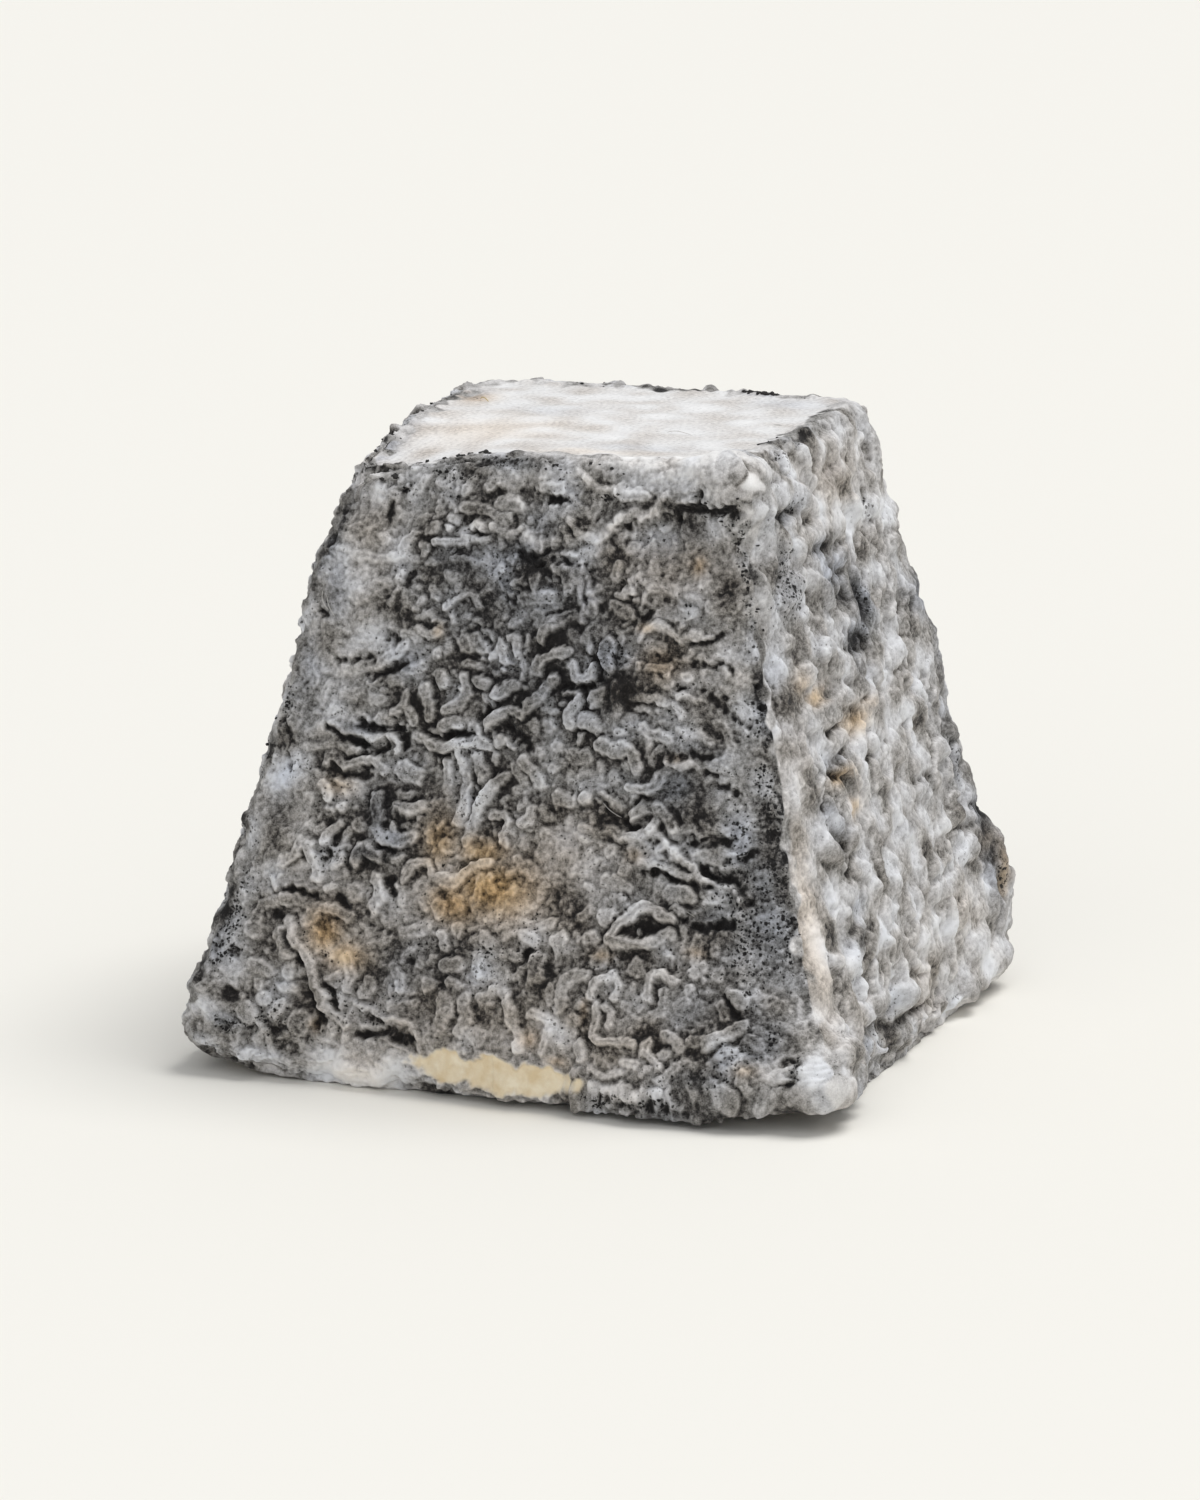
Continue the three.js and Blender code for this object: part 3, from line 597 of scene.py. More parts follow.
# Where ash, mould and bare paste lie on each side: (strength, across, up, half width, half height, tilt).
# Smoke is blue-grey and darker, bloom is white mould, mush is where the wrinkles have gone soft, and shade
# is plain darkness.
FRONT_STAINS = {
    "smoke": (
        (0.9, -1, 58, 4.5, 1.6), (0.7, -8, 57, 3.5, 2), (1, 9, 48.5, 1.2, 2), (0.6, 5, 52, 4, 5),
        (0.6, -3, 54, 5, 4), (0.5, 2, 45, 8, 4.5), (0.9, -15, 30.5, 1.6, 3), (1, -15.6, 26.2, 2, 1),
        (0.8, -12.5, 28, 1.6, 1.2), (0.6, -12.8, 31.2, 0.9, 0.7), (0.5, 19, 39.3, 1.6, 1),
        (0.5, 18.5, 33.5, 3.5, 3), (0.5, 24.5, 30, 3, 4), (0.7, 22.5, 22, 3, 1.2),
        (0.6, -11, 15.5, 2.5, 2), (0.4, -6, 14, 3, 2), (0.8, 22.5, 6, 2, 1.1),
        (0.6, -17.5, 39.1, 2.6, 0.6), (0.6, -30, 7, 1.6, 1), (0.5, 6.6, 53, 0.9, 0.8),
        (0.5, 21, 13, 3, 2), (0.8, 27.5, 23, 2.8, 10, 10), (0.7, 28.5, 11, 2.5, 4), (0.6, -2, 54, 8, 5),
        (0.6, 10, 46, 3, 5), (0.7, 17, 36, 3, 3), (0.5, 24, 19, 3, 3), (0.6, -33, 15, 2.5, 5),
        (0.5, -26, 32, 1.5, 4), (0.6, -24, 44, 1.6, 5), (0.5, -12, 14, 3, 3), (0.7, 20, 2.5, 6, 1.5),
        (0.5, -13, 46, 2, 2), (0.5, -4, 67.5, 5, 1), (0.5, -20, 67, 3, 1.2), (0.5, 1, 61, 2, 2),
        (1, -23.4, 58, 1.3, 5, -12), (0.6, -21.5, 53, 1.5, 3), (1, 26.3, 44, 1.2, 4, 12),
        (0.9, 29.7, 31, 1.3, 6, 12), (0.5, 4, 57, 1.5, 2), (0.4, 16, 62, 3, 1.5), (0.4, 25, 8, 2, 2),
        (0.4, 21, 39, 2, 1.5), (0.3, -1, 50, 3, 2),
    ),
    "amber": (
        (1.2, -1.5, 23.6, 4.8, 3), (1, -3, 27.3, 3, 1.6), (0.9, -8, 28.2, 2.2, 3),
        (1, -5.5, 21.8, 3, 2.2), (1, -19.8, 17.8, 2, 2.4), (0.9, -17.4, 15.5, 2.6, 1.6),
        (0.6, 17.7, 58.2, 0.8, 1.1), (0.5, 12.8, 51.5, 1, 0.6), (0.5, -9.6, 49.7, 0.6, 0.8),
        (0.4, 14.5, 47.8, 2, 1.6), (0.5, 17, 38.4, 1, 0.4), (0.4, 13.5, 28.2, 1.2, 0.8),
        (0.4, 21, 18.8, 1.3, 0.6), (0.5, 27.3, 7, 1.2, 0.8), (0.5, -19.6, 33, 2, 1.2),
        (0.5, 10.9, 17.8, 1.2, 0.6), (0.4, 9.8, 12, 0.4, 1.4), (0.45, 4, 8.6, 1, 1),
        (0.4, 7.2, 6.6, 1.2, 0.6), (0.5, -20.4, 8, 0.6, 0.8),
    ),
    "warmth": (
        (0.8, 6, 28, 6, 5), (0.7, 14, 57, 7, 4), (0.6, 15, 48, 6, 4), (0.7, 13, 9, 8, 5),
        (0.5, -6, 22, 8, 4), (0.6, 5, 20, 10, 4), (0.4, -18, 59, 4, 4), (0.5, 21, 18, 5, 3),
        (0.7, 0, 10, 22, 6), (0.5, -18, 20, 9, 8),
    ),
    "bloom": (
        (0.45, -19, 54, 3.5, 8), (0.5, -23.5, 49, 1.8, 8, -8), (0.9, -26.6, 33, 2, 2.4),
        (0.6, -23, 29.3, 2.2, 1.2), (0.5, -24, 44, 2, 3), (1.2, -16.5, 5, 3.6, 1.5),
        (1, -12, 4.8, 2.5, 1.2), (0.9, -32.6, 8.6, 1.6, 2.4), (1, 23.4, 47, 1.5, 1.2),
        (0.9, 28.6, 15.2, 1.5, 1.3), (0.6, 27, 18.5, 1.6, 1.2), (1, 30, 6.6, 1.8, 1.5),
        (0.9, 33, 6, 1, 3), (0.9, 20, 65.6, 2.6, 0.9), (0.9, -18, 63.2, 1.2, 1), (0.6, -14, 66, 3, 1.2),
        (0.5, 22.3, 29, 1.8, 0.8), (0.5, 17, 16.2, 1.5, 0.5), (0.7, 11, 66, 4, 1.2),
        (0.5, -2, 66.2, 6, 0.8), (0.35, 27, 23, 2, 3), (0.5, -24, 25, 2, 1), (0.5, -15, 56.8, 1.5, 0.6),
        (0.4, -30, 12, 2, 2), (0.5, -28, 4.6, 4, 0.8), (0.3, 10, 61.5, 3, 1), (0.5, 32, 12, 0.6, 4, 12),
        (1, 16, 67.5, 6, 1.6), (2.6, -15.5, 2.6, 4.8, 2.9), (0.35, 12, 7, 3, 1.2), (0.3, -23, 23, 3, 2),
        (0.7, 2, 2.2, 9, 1.1), (0.8, 33.3, 17, 0.6, 5, 12), (0.4, -20, 9, 2.5, 1.5),
        (0.6, -22, 66, 1.8, 1.5), (0.4, -25, 26, 2, 3), (0.35, 24, 57, 1.2, 2), (0.3, 11, 31, 2, 2),
        (0.35, 3.5, 9, 4, 2.5), (0.3, -7, 13, 2, 1.5), (0.3, -25, 16, 2, 2), (0.4, -26, 3, 3, 1.5),
        (1.4, 13, 69, 10, 1.8), (0.8, -1, 69.5, 6, 1), (0.7, 29, 14, 1.5, 1.5), (0.7, -25, 26, 1.5, 1.5),
        (0.7, -17, 7, 2.5, 1.2), (0.6, 15, 17, 1.5, 0.8), (0.6, 13, 7, 3, 1), (0.6, -22, 39, 2, 1.5),
        (0.5, -22, 11, 1.5, 1.5), (0.6, -11, 9, 1.5, 1), (0.5, -20, 45, 2, 1.5), (0.5, 11, 32, 1.5, 1),
        (0.6, 8, 6, 1.5, 0.8), (0.7, 22, 57, 1, 3, 12), (1, -22, 65, 1.5, 2),
    ),
    "soot": (
        (0.9, 22.6, 58, 0.9, 5, 12), (0.9, 26.3, 43, 1.3, 4, 12), (1, 28.2, 31, 1.6, 9, 12),
        (0.9, 30, 21, 1, 3, 12), (0.8, -4, 68, 5, 0.8), (0.8, -20, 67.5, 3, 1), (0.6, 26, 22, 3, 10, 10),
        (0.8, -24, 57, 1, 5, -12), (0.7, -26.8, 40, 1.4, 5, -12), (0.7, -31, 17, 1.6, 5, -12),
        (0.7, -30, 6.5, 2, 1), (0.7, 31.6, 7, 0.7, 1.6), (0.8, 18, 63.7, 3.5, 0.7), (0.6, -9, 66, 4, 0.8),
        (0.5, -15, 64, 1.5, 0.7), (0.6, -23, 51, 1.2, 2), (0.5, 29.5, 11, 1, 2), (0.5, 22.5, 6, 3, 1.5),
        (0.5, -25, 6, 1.5, 1), (0.6, 15, 4, 6, 0.5), (0.6, 8, 64.5, 2, 0.6), (0.4, -20, 8, 8, 2),
        (0.4, 0, 17, 12, 1),
    ),
    "mush": (
        (1, -19, 51, 4, 8), (0.8, -20, 60, 5, 3), (1, -26.5, 33, 3, 4), (1, -16, 4.5, 6, 2),
        (1, 31, 7, 3, 3), (0.7, 20, 58, 4, 4), (0.6, 6, 27, 4, 5), (0.8, -1, 22, 3.5, 2.5),
        (0.5, -18, 15.5, 3, 3), (0.6, 21, 36, 5, 4), (0.7, 27, 22, 3, 8), (0.5, -11, 18, 3, 3),
        (0.4, 22, 50, 3, 4), (0.5, 6, 67.2, 18, 1.2), (0.15, 0, 10, 34, 8),
    ),
    "shade": (
        (1.2, -22.6, 59, 1.5, 3, -12), (0.5, 25.2, 44, 1.6, 4, 12), (0.4, 29, 31, 1.5, 5, 12),
        (0.9, 4, 57, 3, 1.2), (0.8, -2, 22, 1.6, 1.2), (0.8, 9, 48, 1.5, 2), (0.7, 11, 36, 1.5, 1),
        (0.7, 17, 54, 2, 1), (0.7, -12, 35, 1.5, 1), (0.7, 17, 35, 2, 1), (0.6, -5, 50, 2, 1.5),
        (1, -4, 68, 4, 1), (0.7, 9, 66.5, 2, 0.8), (0.5, -10, 66, 5, 1),
    ),
    "bare": (
        (1.7, -5.5, 5, 3.4, 1.6), (1.7, 0, 4.9, 4, 1.6), (1.6, 5, 4.7, 3.6, 1.4), (0.8, 10, 4.6, 1.6, 0.7),
    ),
}

RIGHT_STAINS = {
    "smoke": (
        (0.6, -5, 56.3, 5, 1), (0.7, 1, 53.8, 5, 1.5), (1, 6, 49.5, 2.2, 3), (1, 1, 46, 4, 2),
        (0.5, 1, 50.5, 4, 1.2), (0.5, -14, 62, 6, 1.2), (0.5, -18, 56, 4, 4), (0.5, -18, 29, 2, 2.5),
        (0.6, -20, 32, 2, 1.2), (0.7, 25, 27, 3, 1.5), (0.5, 24, 32, 4, 4), (0.5, 26, 40, 2, 8),
        (0.5, -14, 8.8, 7, 1.2), (0.5, -19, 18, 3, 1.5), (0.4, 20, 47, 5, 2), (0.4, -17, 21, 3, 1),
        (0.9, -2, 53.5, 6, 3), (0.7, -4, 57, 6, 1), (0.9, 24, 46.5, 5, 2), (1.2, 28, 17, 3, 6),
        (0.7, 24, 27, 3, 2), (0.5, -24, 3, 8, 2), (0.5, -15, 36, 4, 1), (0.4, -24, 45, 3, 6),
        (0.5, -13, 43, 2, 1), (0.4, 4, 25, 3, 1), (0.5, -30, 31, 1.5, 3), (1.3, 31, 21, 3, 2),
        (1, 25, 46, 3, 2), (0.8, -25, 1.5, 5, 2), (0.8, 4, 48, 2, 3), (0.5, -2, 69, 4, 1),
        (0.5, -1, 43, 3, 2), (0.4, 4, 63, 3, 1.5), (0.5, -21, 7, 3, 1.5),
    ),
    "amber": (
        (0.8, -15, 43, 3, 1), (0.9, -14.5, 34.3, 3, 0.9), (0.7, -6, 38.5, 4, 1.4), (0.7, -11.5, 30.3, 2.5, 1),
        (0.5, -19, 45, 2, 1.5), (0.4, -2, 39.5, 3, 0.8), (0.8, 29.5, 14, 1.2, 4), (0.5, 28, 18, 3, 1.5),
    ),
    "warmth": (
        (1, -29.3, 21, 2.8, 13, -12), (0.9, 4, 63, 6, 3), (0.6, 3, 7, 4, 5), (0.5, -24, 10, 4, 4),
        (0.5, 16, 13, 5, 3), (0.5, -24, 40, 3, 5),
    ),
    "bloom": (
        (0.6, 0, 35, 40, 40), (1.6, 14, 1.5, 6, 2), (1.2, 23, 3, 6, 2.5), (1, 13, 64, 4, 3),
        (1, 20, 69, 4, 1.5), (0.9, -14, 57, 4, 2.5), (0.9, -11, 20, 5, 4), (1, 21, 11, 5, 3),
        (0.9, -22, 22, 3, 5), (0.9, 10, 39, 5, 3), (0.9, 15, 22, 5, 3), (1, -26, 43, 0.7, 14, -12),
        (0.9, -31, 19, 0.7, 12, -12), (0.8, 5, 24, 7, 6), (1.1, 22, 6, 7, 3.5), (0.8, -23, 33, 3, 3),
        (0.8, 10, 36, 5, 3), (1.1, -34, 4, 2, 3), (0.8, 4, 62, 8, 3), (0.8, -4, 10, 6, 1.2),
        (0.7, -24, 52, 1, 8, -12), (0.8, 0, 67, 22, 1), (1.1, -29.4, 21, 2.2, 12, -12),
        (1.1, 25, 14, 3, 2), (1.1, -6, 65, 4, 1.5), (1, 12, 8, 5, 2.5), (0.9, -25, 36, 2, 3),
        (0.85, 0, 58, 40, 9), (0.8, 5, 12, 40, 9), (0.9, -24, 17, 2.5, 3), (0.9, 16, 59, 3, 2),
        (1, -20, 67.5, 4, 1),
    ),
    "soot": (
        (0.9, -17, 56, 3.5, 5), (0.8, -14, 62.3, 5, 0.9), (0.7, 6, 49.5, 2.5, 2.5), (0.6, 1, 46, 4, 1.5),
        (0.6, 24, 28, 4, 3), (0.7, 12.8, 58, 1, 2), (0.9, 30, 21, 3, 2), (0.8, 29.5, 14, 1, 4),
        (0.5, 25.5, 44, 1.5, 8, 12), (0.4, -9, 6, 12, 2), (0.6, -10, 67.5, 8, 0.7),
    ),
    "mush": ((1, 22, 6, 8, 4), (0.6, 5, 24, 8, 6), (0.8, -28, 24, 2.5, 12, -12), (0.7, 4, 62, 8, 4)),
    "shade": (
        (2, 5, 48.5, 2.2, 2.8, 20), (1.2, 1, 46, 2.6, 0.9), (0.9, -15, 35, 3, 0.9),
        (0.9, -14, 42, 3, 0.9), (0.8, -2, 56.5, 4, 0.9), (0.8, -2, 39, 3, 1), (0.7, -10, 47, 3, 1),
        (1.3, 31, 21, 2, 1.5), (0.9, 25, 47, 1.5, 2), (0.6, -17, 62, 5, 0.8), (0.8, -2, 68.5, 5, 0.8),
        (0.5, 12, 27, 3, 0.8),
    ),
    "bare": (),
}
RIGHT_WORMS = (
    (1.6, 1.2, -19, 64, -12, 64.2, -7, 62.4), (1.3, 1, -9, 58.5, -4, 58.5, 0, 57.8, 5, 57.4),
    (1.2, 0.9, -12, 55, -8, 53.5, -6, 51.5), (1.1, 1.1, 4.8, 46.2, 7.5, 48, 9.4, 51),
    (1.6, 1.2, -9, 45.5, -5, 44.2, -3.6, 43), (1.2, 1, -9, 41.5, -5, 41, -2, 41.5),
    (1.1, 1, -15, 37.5, -11, 37.8, -8, 35.5, -6, 35.2, -5, 37),
    (0.5, 1, -11.5, 35, -10.5, 33, -9.5, 31.8), (1.5, 1, -20, 41.5, -15, 40.8, -11, 40.5),
    (1.3, 1, -19, 45.8, -15.5, 45.5), (1.4, 1.1, -15, 27.5, -12, 27.5), (1.5, 1, -22, 28.5, -19.5, 27),
    (1.5, 0.9, 3, 28.5, 7, 27.5), (1.6, 0.9, 5, 24.5, 10, 24), (1.4, 0.8, -4, 26.5, 0, 26.8),
    (1.6, 1.3, -7, 9, -3, 8.5, 1, 7.6, 3.4, 8),
    (0.5, 1, -4, 14.5, -2.5, 12.5, -1, 10.8, 1.5, 10.2, 3.5, 9.6),
    (1.3, 1, -22, 10.5, -17, 10.2, -12, 10, -9.5, 9), (1, 0.9, -19, 6.6, -15, 5.6, -12.5, 4),
    (2.1, 1.2, 15, 4, 22, 5, 28, 4.5), (1.8, 1, 17.5, 8, 22, 8.5), (1.5, 1, 21, 18.5, 25, 19),
    (1.3, 0.9, 13, 16, 17.5, 16.5, 19, 18), (1.2, 0.9, 8, 16.5, 11.5, 16.5),
    (1, 0.9, 19.5, 24.5, 20.5, 22.5, 24.5, 21.5), (1, 0.9, 14, 22.5, 19, 22.5),
    (1.4, 1, 10, 36.5, 14, 36), (1.2, 0.9, 9.5, 42, 14, 42.5, 17, 41.5), (1.6, 0.9, 2, 62, 8, 62.5),
    (1.3, 0.8, 9, 59, 11, 57.5),
)
RIGHT_CRACKS = (
    (1.2, 0.8, -2.5, 46.4, 2.5, 45.4), (0.9, 0.8, 5.6, 50.8, 6.4, 49), (0.8, 0.6, -2, 53.6, 3, 52.8),
    (0.5, 0.8, -7, 57, -2, 56.2), (0.5, 0.9, 25.5, 22.4, 31, 20.4),
    (0.8, 0.7, 27.5, 16, 28.6, 12, 30, 10), (0.5, 0.8, -17, 61.8, -10, 62), (0.5, 0.7, 21, 47, 27, 45.4),
    (0.3, 1, -16.9, 27.5, -17, 24.6), (0.35, 1, -15.5, 39.2, -11, 38.8),
    (0.35, 0.9, -17, 35.2, -14.5, 34, -12.5, 33.2), (0.25, 0.6, -13, 36.4, -8, 36.8),
    (0.35, 0.8, -5, 42.3, -3.5, 42.1), (0.3, 0.7, -5, 33.8, -2, 33.8),
    (0.35, 1, -21, 8.6, -17.5, 7.9, -14, 7.6, -10, 6.8, -8, 6.2),
    (0.35, 1.1, -8, 6.3, -4, 6.3, 0, 6.1, 3, 6.4), (0.3, 0.7, -7.8, 9, -8.3, 7.5),
    (0.4, 0.8, -8, 60, -5.5, 59.6), (0.3, 0.8, 12.8, 60, 13.2, 56.5), (0.25, 0.9, 5.6, 56.2, 6.1, 55.6),
    (0.4, 0.8, 9, 28.4, 13.5, 28.2), (0.7, 0.8, 24, 27, 26, 26.6), (0.4, 0.7, 20, 24.2, 23, 23.4),
    (0.4, 0.7, 19, 21.5, 24, 20.6), (0.35, 0.6, -11, 45.8, -9.5, 44.8), (0.3, 0.6, -18, 29.5, -17, 28),
    (0.3, 0.6, 9.2, 41.2, 9.8, 40.8), (0.35, 0.7, -20, 32.4), (0.6, 0.6, -2, 46.5, 3, 45.6),
    (0.5, 0.5, -2, 51, 2, 50.6), (0.4, 0.5, 17, 35.5, 20, 35), (0.4, 0.5, 15, 46.5, 20, 45.8),
    (0.35, 0.5, -20, 17.6, -17, 17.4),
)
BACK_STAINS = {
    "smoke": ((0.8, -12, 42, 6, 5), (0.6, 14, 22, 6, 5), (0.7, 4, 56, 5, 2), (0.6, -20, 14, 5, 3)),
    "amber": ((0.9, 8, 30, 3.5, 2.5), (0.7, -16, 24, 2.5, 2), (0.6, 12, 50, 2, 1.5), (0.5, -3, 12, 2, 1.5)),
    "warmth": ((0.8, 8, 30, 8, 6), (0.7, -14, 20, 7, 5), (0.6, 0, 58, 8, 3)),
    "bloom": (
        (0.1, 0, 35, 40, 40), (0.9, 20, 44, 4, 7), (1.4, -24, 7, 7, 3.5), (0.8, -10, 61, 5, 3),
        (1.2, 24, 8, 5, 3), (0.9, -22, 44, 2.5, 7), (0.8, 0, 67, 22, 1), (0.7, 1, 30, 4, 3),
        (1.3, -3, 2.5, 8, 1.4), (0.6, 14, 36, 3, 2),
    ),
    "soot": (
        (0.4, 23.5, 52, 1.2, 8, 12), (0.4, -25, 48, 1.2, 8, -12), (0.4, 30, 20, 1.4, 8, 12),
        (0.5, 0, 4, 20, 1.5), (0.6, -12, 42, 6, 4), (0.8, -12, 66, 4, 1), (0.9, 4, 66.2, 7, 1),
    ),
    "mush": ((0.9, 20, 44, 5, 8), (1, -24, 9, 7, 4), (0.7, 8, 30, 4, 3), (0.8, 24, 8, 6, 4)),
    "shade": (
        (1, -10, 40, 7, 5), (0.9, 12, 20, 6, 5), (0.9, 4, 55, 7, 3), (0.8, -18, 26, 4, 4),
        (0.6, 2, 10, 10, 2), (0.6, -4, 67.5, 6, 1),
    ),
    "bare": ((0.9, 13, 5, 4, 0.8), (1.2, 17, 5, 3, 0.9)),
}
LEFT_STAINS = {
    "smoke": ((0.8, 6, 46, 6, 5), (0.8, -14, 30, 5, 5), (0.7, 16, 16, 6, 4), (0.6, -6, 60, 6, 1.5)),
    "amber": ((0.9, -4, 21, 3, 2.5), (0.8, 14, 36, 2.5, 2), (0.6, -18, 12, 2, 2), (0.5, -10, 50, 1.5, 1.2)),
    "warmth": ((0.8, -4, 22, 7, 6), (0.7, 14, 36, 6, 5), (0.6, -16, 54, 5, 4)),
    "bloom": (
        (0.9, 22, 38, 3, 8), (1.4, 20, 4, 8, 2.5), (0.9, -20, 42, 3, 5), (0.8, 12, 60, 6, 3),
        (0.9, -30, 8, 3, 3), (0.9, 0, 67, 22, 1), (0.8, -6, 5, 4, 1.5), (0.7, 0, 36, 3, 3),
        (0.7, -8, 16, 4, 2),
    ),
    "soot": (
        (0.4, 22.5, 56, 1.2, 7, 12), (0.4, 28.6, 26, 1.4, 9, 12), (0.4, -27, 38, 1.3, 9, -12),
        (0.7, -8, 66, 6, 1), (0.6, 14, 30, 6, 6), (0.5, -10, 12, 8, 3),
    ),
    "mush": ((0.9, 22, 38, 4, 9), (1, 20, 5, 8, 3), (0.7, -20, 42, 4, 6), (0.6, -4, 21, 4, 3)),
    "shade": (
        (1, 6, 46, 7, 5), (0.9, -14, 29, 5, 5), (0.9, 16, 17, 6, 4), (0.8, -5, 59, 6, 3),
        (0.7, -20, 11, 5, 3), (0.6, 6, 67.5, 6, 1),
    ),
    "bare": (),
}
# The top face and the underside, as (strength, across, back, half width, half height, tilt).
TOP_STAINS = {
    "smoke": (
        (0.35, 15, 16, 4, 3), (0.3, 8, -14, 5, 2), (0.25, -8, 4, 4, 3), (1.2, -13, -20.4, 8, 1.3),
        (1.2, -20.4, -12, 1.3, 7), (0.8, -19, 10, 1.6, 4), (0.8, -8, 20.8, 5, 0.8),
        (0.4, 6, 20.8, 7, 0.6), (1.2, 10.5, 20.4, 2, 0.9),
    ),
    "amber": ((0.1, -12, -9, 6, 5), (0.35, -18.5, 9, 1.6, 3), (0.12, 4, -17, 4, 1.5)),
    "warmth": ((0.5, -10, -6, 9, 7), (0.4, 4, -18, 8, 2), (0.8, -18, 9, 2.5, 4)),
    "bloom": ((1.42, 0, 0, 80, 80),),
    "soot": (
        (0.3, 0, 0, 80, 80), (0.6, -15, -19, 7, 1.6), (0.6, -18.5, 9, 2, 4), (0.5, 20, -4, 1, 14),
        (0.75, -10, 20, 4, 1.3), (0.5, 4, 20.6, 6, 0.6), (0.9, 10.5, 20, 2.5, 1), (0.5, 8, -19, 9, 1.2),
        (0.25, 6, -12, 4, 3), (0.25, -4, 6, 5, 3),
    ),
    "mush": ((1, 0, 0, 80, 80),),
    "shade": (),
    "bare": (),
}
FOOT_STAINS = {
    "smoke": ((0.4, 12, 10, 9, 6), (0.3, -14, -6, 6, 8)),
    "amber": ((0.4, 0, -6, 12, 9), (0.3, -18, 16, 6, 5)),
    "warmth": ((1, 0, 0, 60, 60),),
    "bloom": ((1.0, 0, 0, 80, 80),),
    "soot": ((0.4, 14, 12, 10, 6), (0.4, 0, 0, 30, 30)),
    "mush": ((1, 0, 0, 80, 80),),
    "shade": (),
    "bare": (),
}


LEAST_RISE = 0.5  # a side whose wrinkles rise less counts as smooth
WHITEST = 1.3  # tone runs from 0 for black to this

# Random waves over a side: (length, spread of lengths). Those that bend strokes start with how far.
WANDER_WAVES = ((0.13, 3.2, 0.5), (0.05, 0.9, 0.4))
CLOUD_WAVES = (8, 0.6)
FINE_WAVES = (0.7, 0.5)
LUMP_WAVES = (1.25, 0.4)
SWELL_WAVES = (5, 0.45)
MUSH_WAVES = (9, 0.5)
BARE_WAVES = (3, 0.5)
LEVEL_WAVES = (6, 0.7)
BREAK_WAVES = (1.6, 0.6)

# Ranges over which a pattern goes from nothing to whole.
MUSH_RANGE = (0.2, 1.8)
BARE_RANGE = (0.5, 0.8)
PUFF_RANGE = (0.9, 1.5)
THICK_RANGE = (1.3, 2)
CRACK_RANGE = (-0.35, 0.2)
HOLLOW_SHADE_RANGE = (0.1, 0.8)
PLUMP_RANGE = (0.35, 0.55)
CROWN_RANGE = (0.4, 0.6)
GAP_SHADE_RANGE = (-0.05, 0.22)

# The upright edges, worn smooth by handling, as soft patches.
WORN_EDGES = ((1, 25.2, 36, 2.2, 45, 12), (1, -25.2, 36, 2.2, 45, -12))
EDGE_WEAR = 0.55  # the wrinkles there lose this share of their height
LUMP_STEEPNESS = 1.2
SOFT_LUMPS = 0.5  # softness takes this share off the lumps
SOFT_BLOOM = 0.8  # and this share off the mush under white mould
SOFT_CRACKS = 2  # and blurs the cracks this strongly
BARE_RAGGED = 0.12
BARE_LUMPY = 0.08
LEVEL_MEAN = 0.9  # the wrinkles' height varies round this share
LEVEL_SPREAD = 0.22
LEVEL_LIMITS = (0.3, 1.3)
MUSH_BLUR = 0.3  # radii in millimetres
PUFF_BLUR = 1
PUFF_SHARE = 0.6
CRACK_BLUR = 0.35
CRACK_RAGGED = 0.1
RIDGE_FLANK = 0.22
HOLLOW_SHADE_BLUR = 1.2
STANDING_BLUR = 0.5
CRISP_RISE = 1.6  # rims are crisp once a wrinkle's height times this is 1
CRISP_MUSH = 0.65
RIM_DEPTH = 0.3  # the light rim of a worm lies this far inside its edge
RIM_WIDTH = 0.13
RIM_MEAN = 0.75  # its strength varies round this share
RIM_SPREAD = 0.25
PLAIN_TONE = 0.6

# How much each pattern adds to how soft, how high and how light the rind is.
MUSH_BY = {"mush": 1, "bloom": 0.5, "softness": 0.5, "edges": 0.3, "patches": 0.5}
HIGHER_BY = {
    "heap": 1, "heap in mush": -0.3, "lumps": 0.08, "swells": 0.08, "swells in mush": 0.08,
    "soft swells": 0.1, "fine": 0.03, "thick mould": 0.8, "ridge": 0.4, "crack": -0.7,
}
PASTE_HIGHER_BY = {"swells": 0.1, "fine": 0.02, "all over": -0.1, "edge": 0.8}
# Tone: hollows, gaps and cracks get painted shade, and standing parts, lumps and rims some painted light.
LIGHTER_BY = {
    "standing_down_and_shade": 0.42, "hollow_shade": -0.41, "soft hollow": 0.35, "rim": 0.26, "crown": -0.1, "gap_shade": -0.15,
    "cloud": 0.07, "wrinkled cloud": 0.06, "puff": 0.12, "fine": 0.05, "mushy lumps light and shade": 0.07, "ridge": 0.25,
    "crack": -0.35, "smoke": -0.26, "soot": -0.08, "shade": -0.28, "bloom": 0.34, "cloudy bloom": 0.04,
    "amber": 0.12, "paste edge": 1.2,
}
# And how much each adds to its tints. The hollows with painted shade are also warmer, more amber, sootier.
SMOKIER_BY = {"stain": 1, "all over": 0.1, "cloud": 0.15}
AMBER_BY = {"stain": 0.9, "hollow_shade": 0.3, "rim": -0.25}
WARMER_BY = {"all over": 0.12, "stain": 0.9, "hollow_shade": 0.6, "cloud": -0.15}
DUST_BY = {"all over": 0.4, "cloud": 0.15, "bloom": -0.4}
SOOTIER_BY = {"stain": 1, "dust": 1, "hollow_shade": 0.3, "bare": -1}


def weighed(weights, patterns):
    """The sum of the named patterns, each times its weight."""
    return sum(weights[name] * pattern for name, pattern in patterns.items())


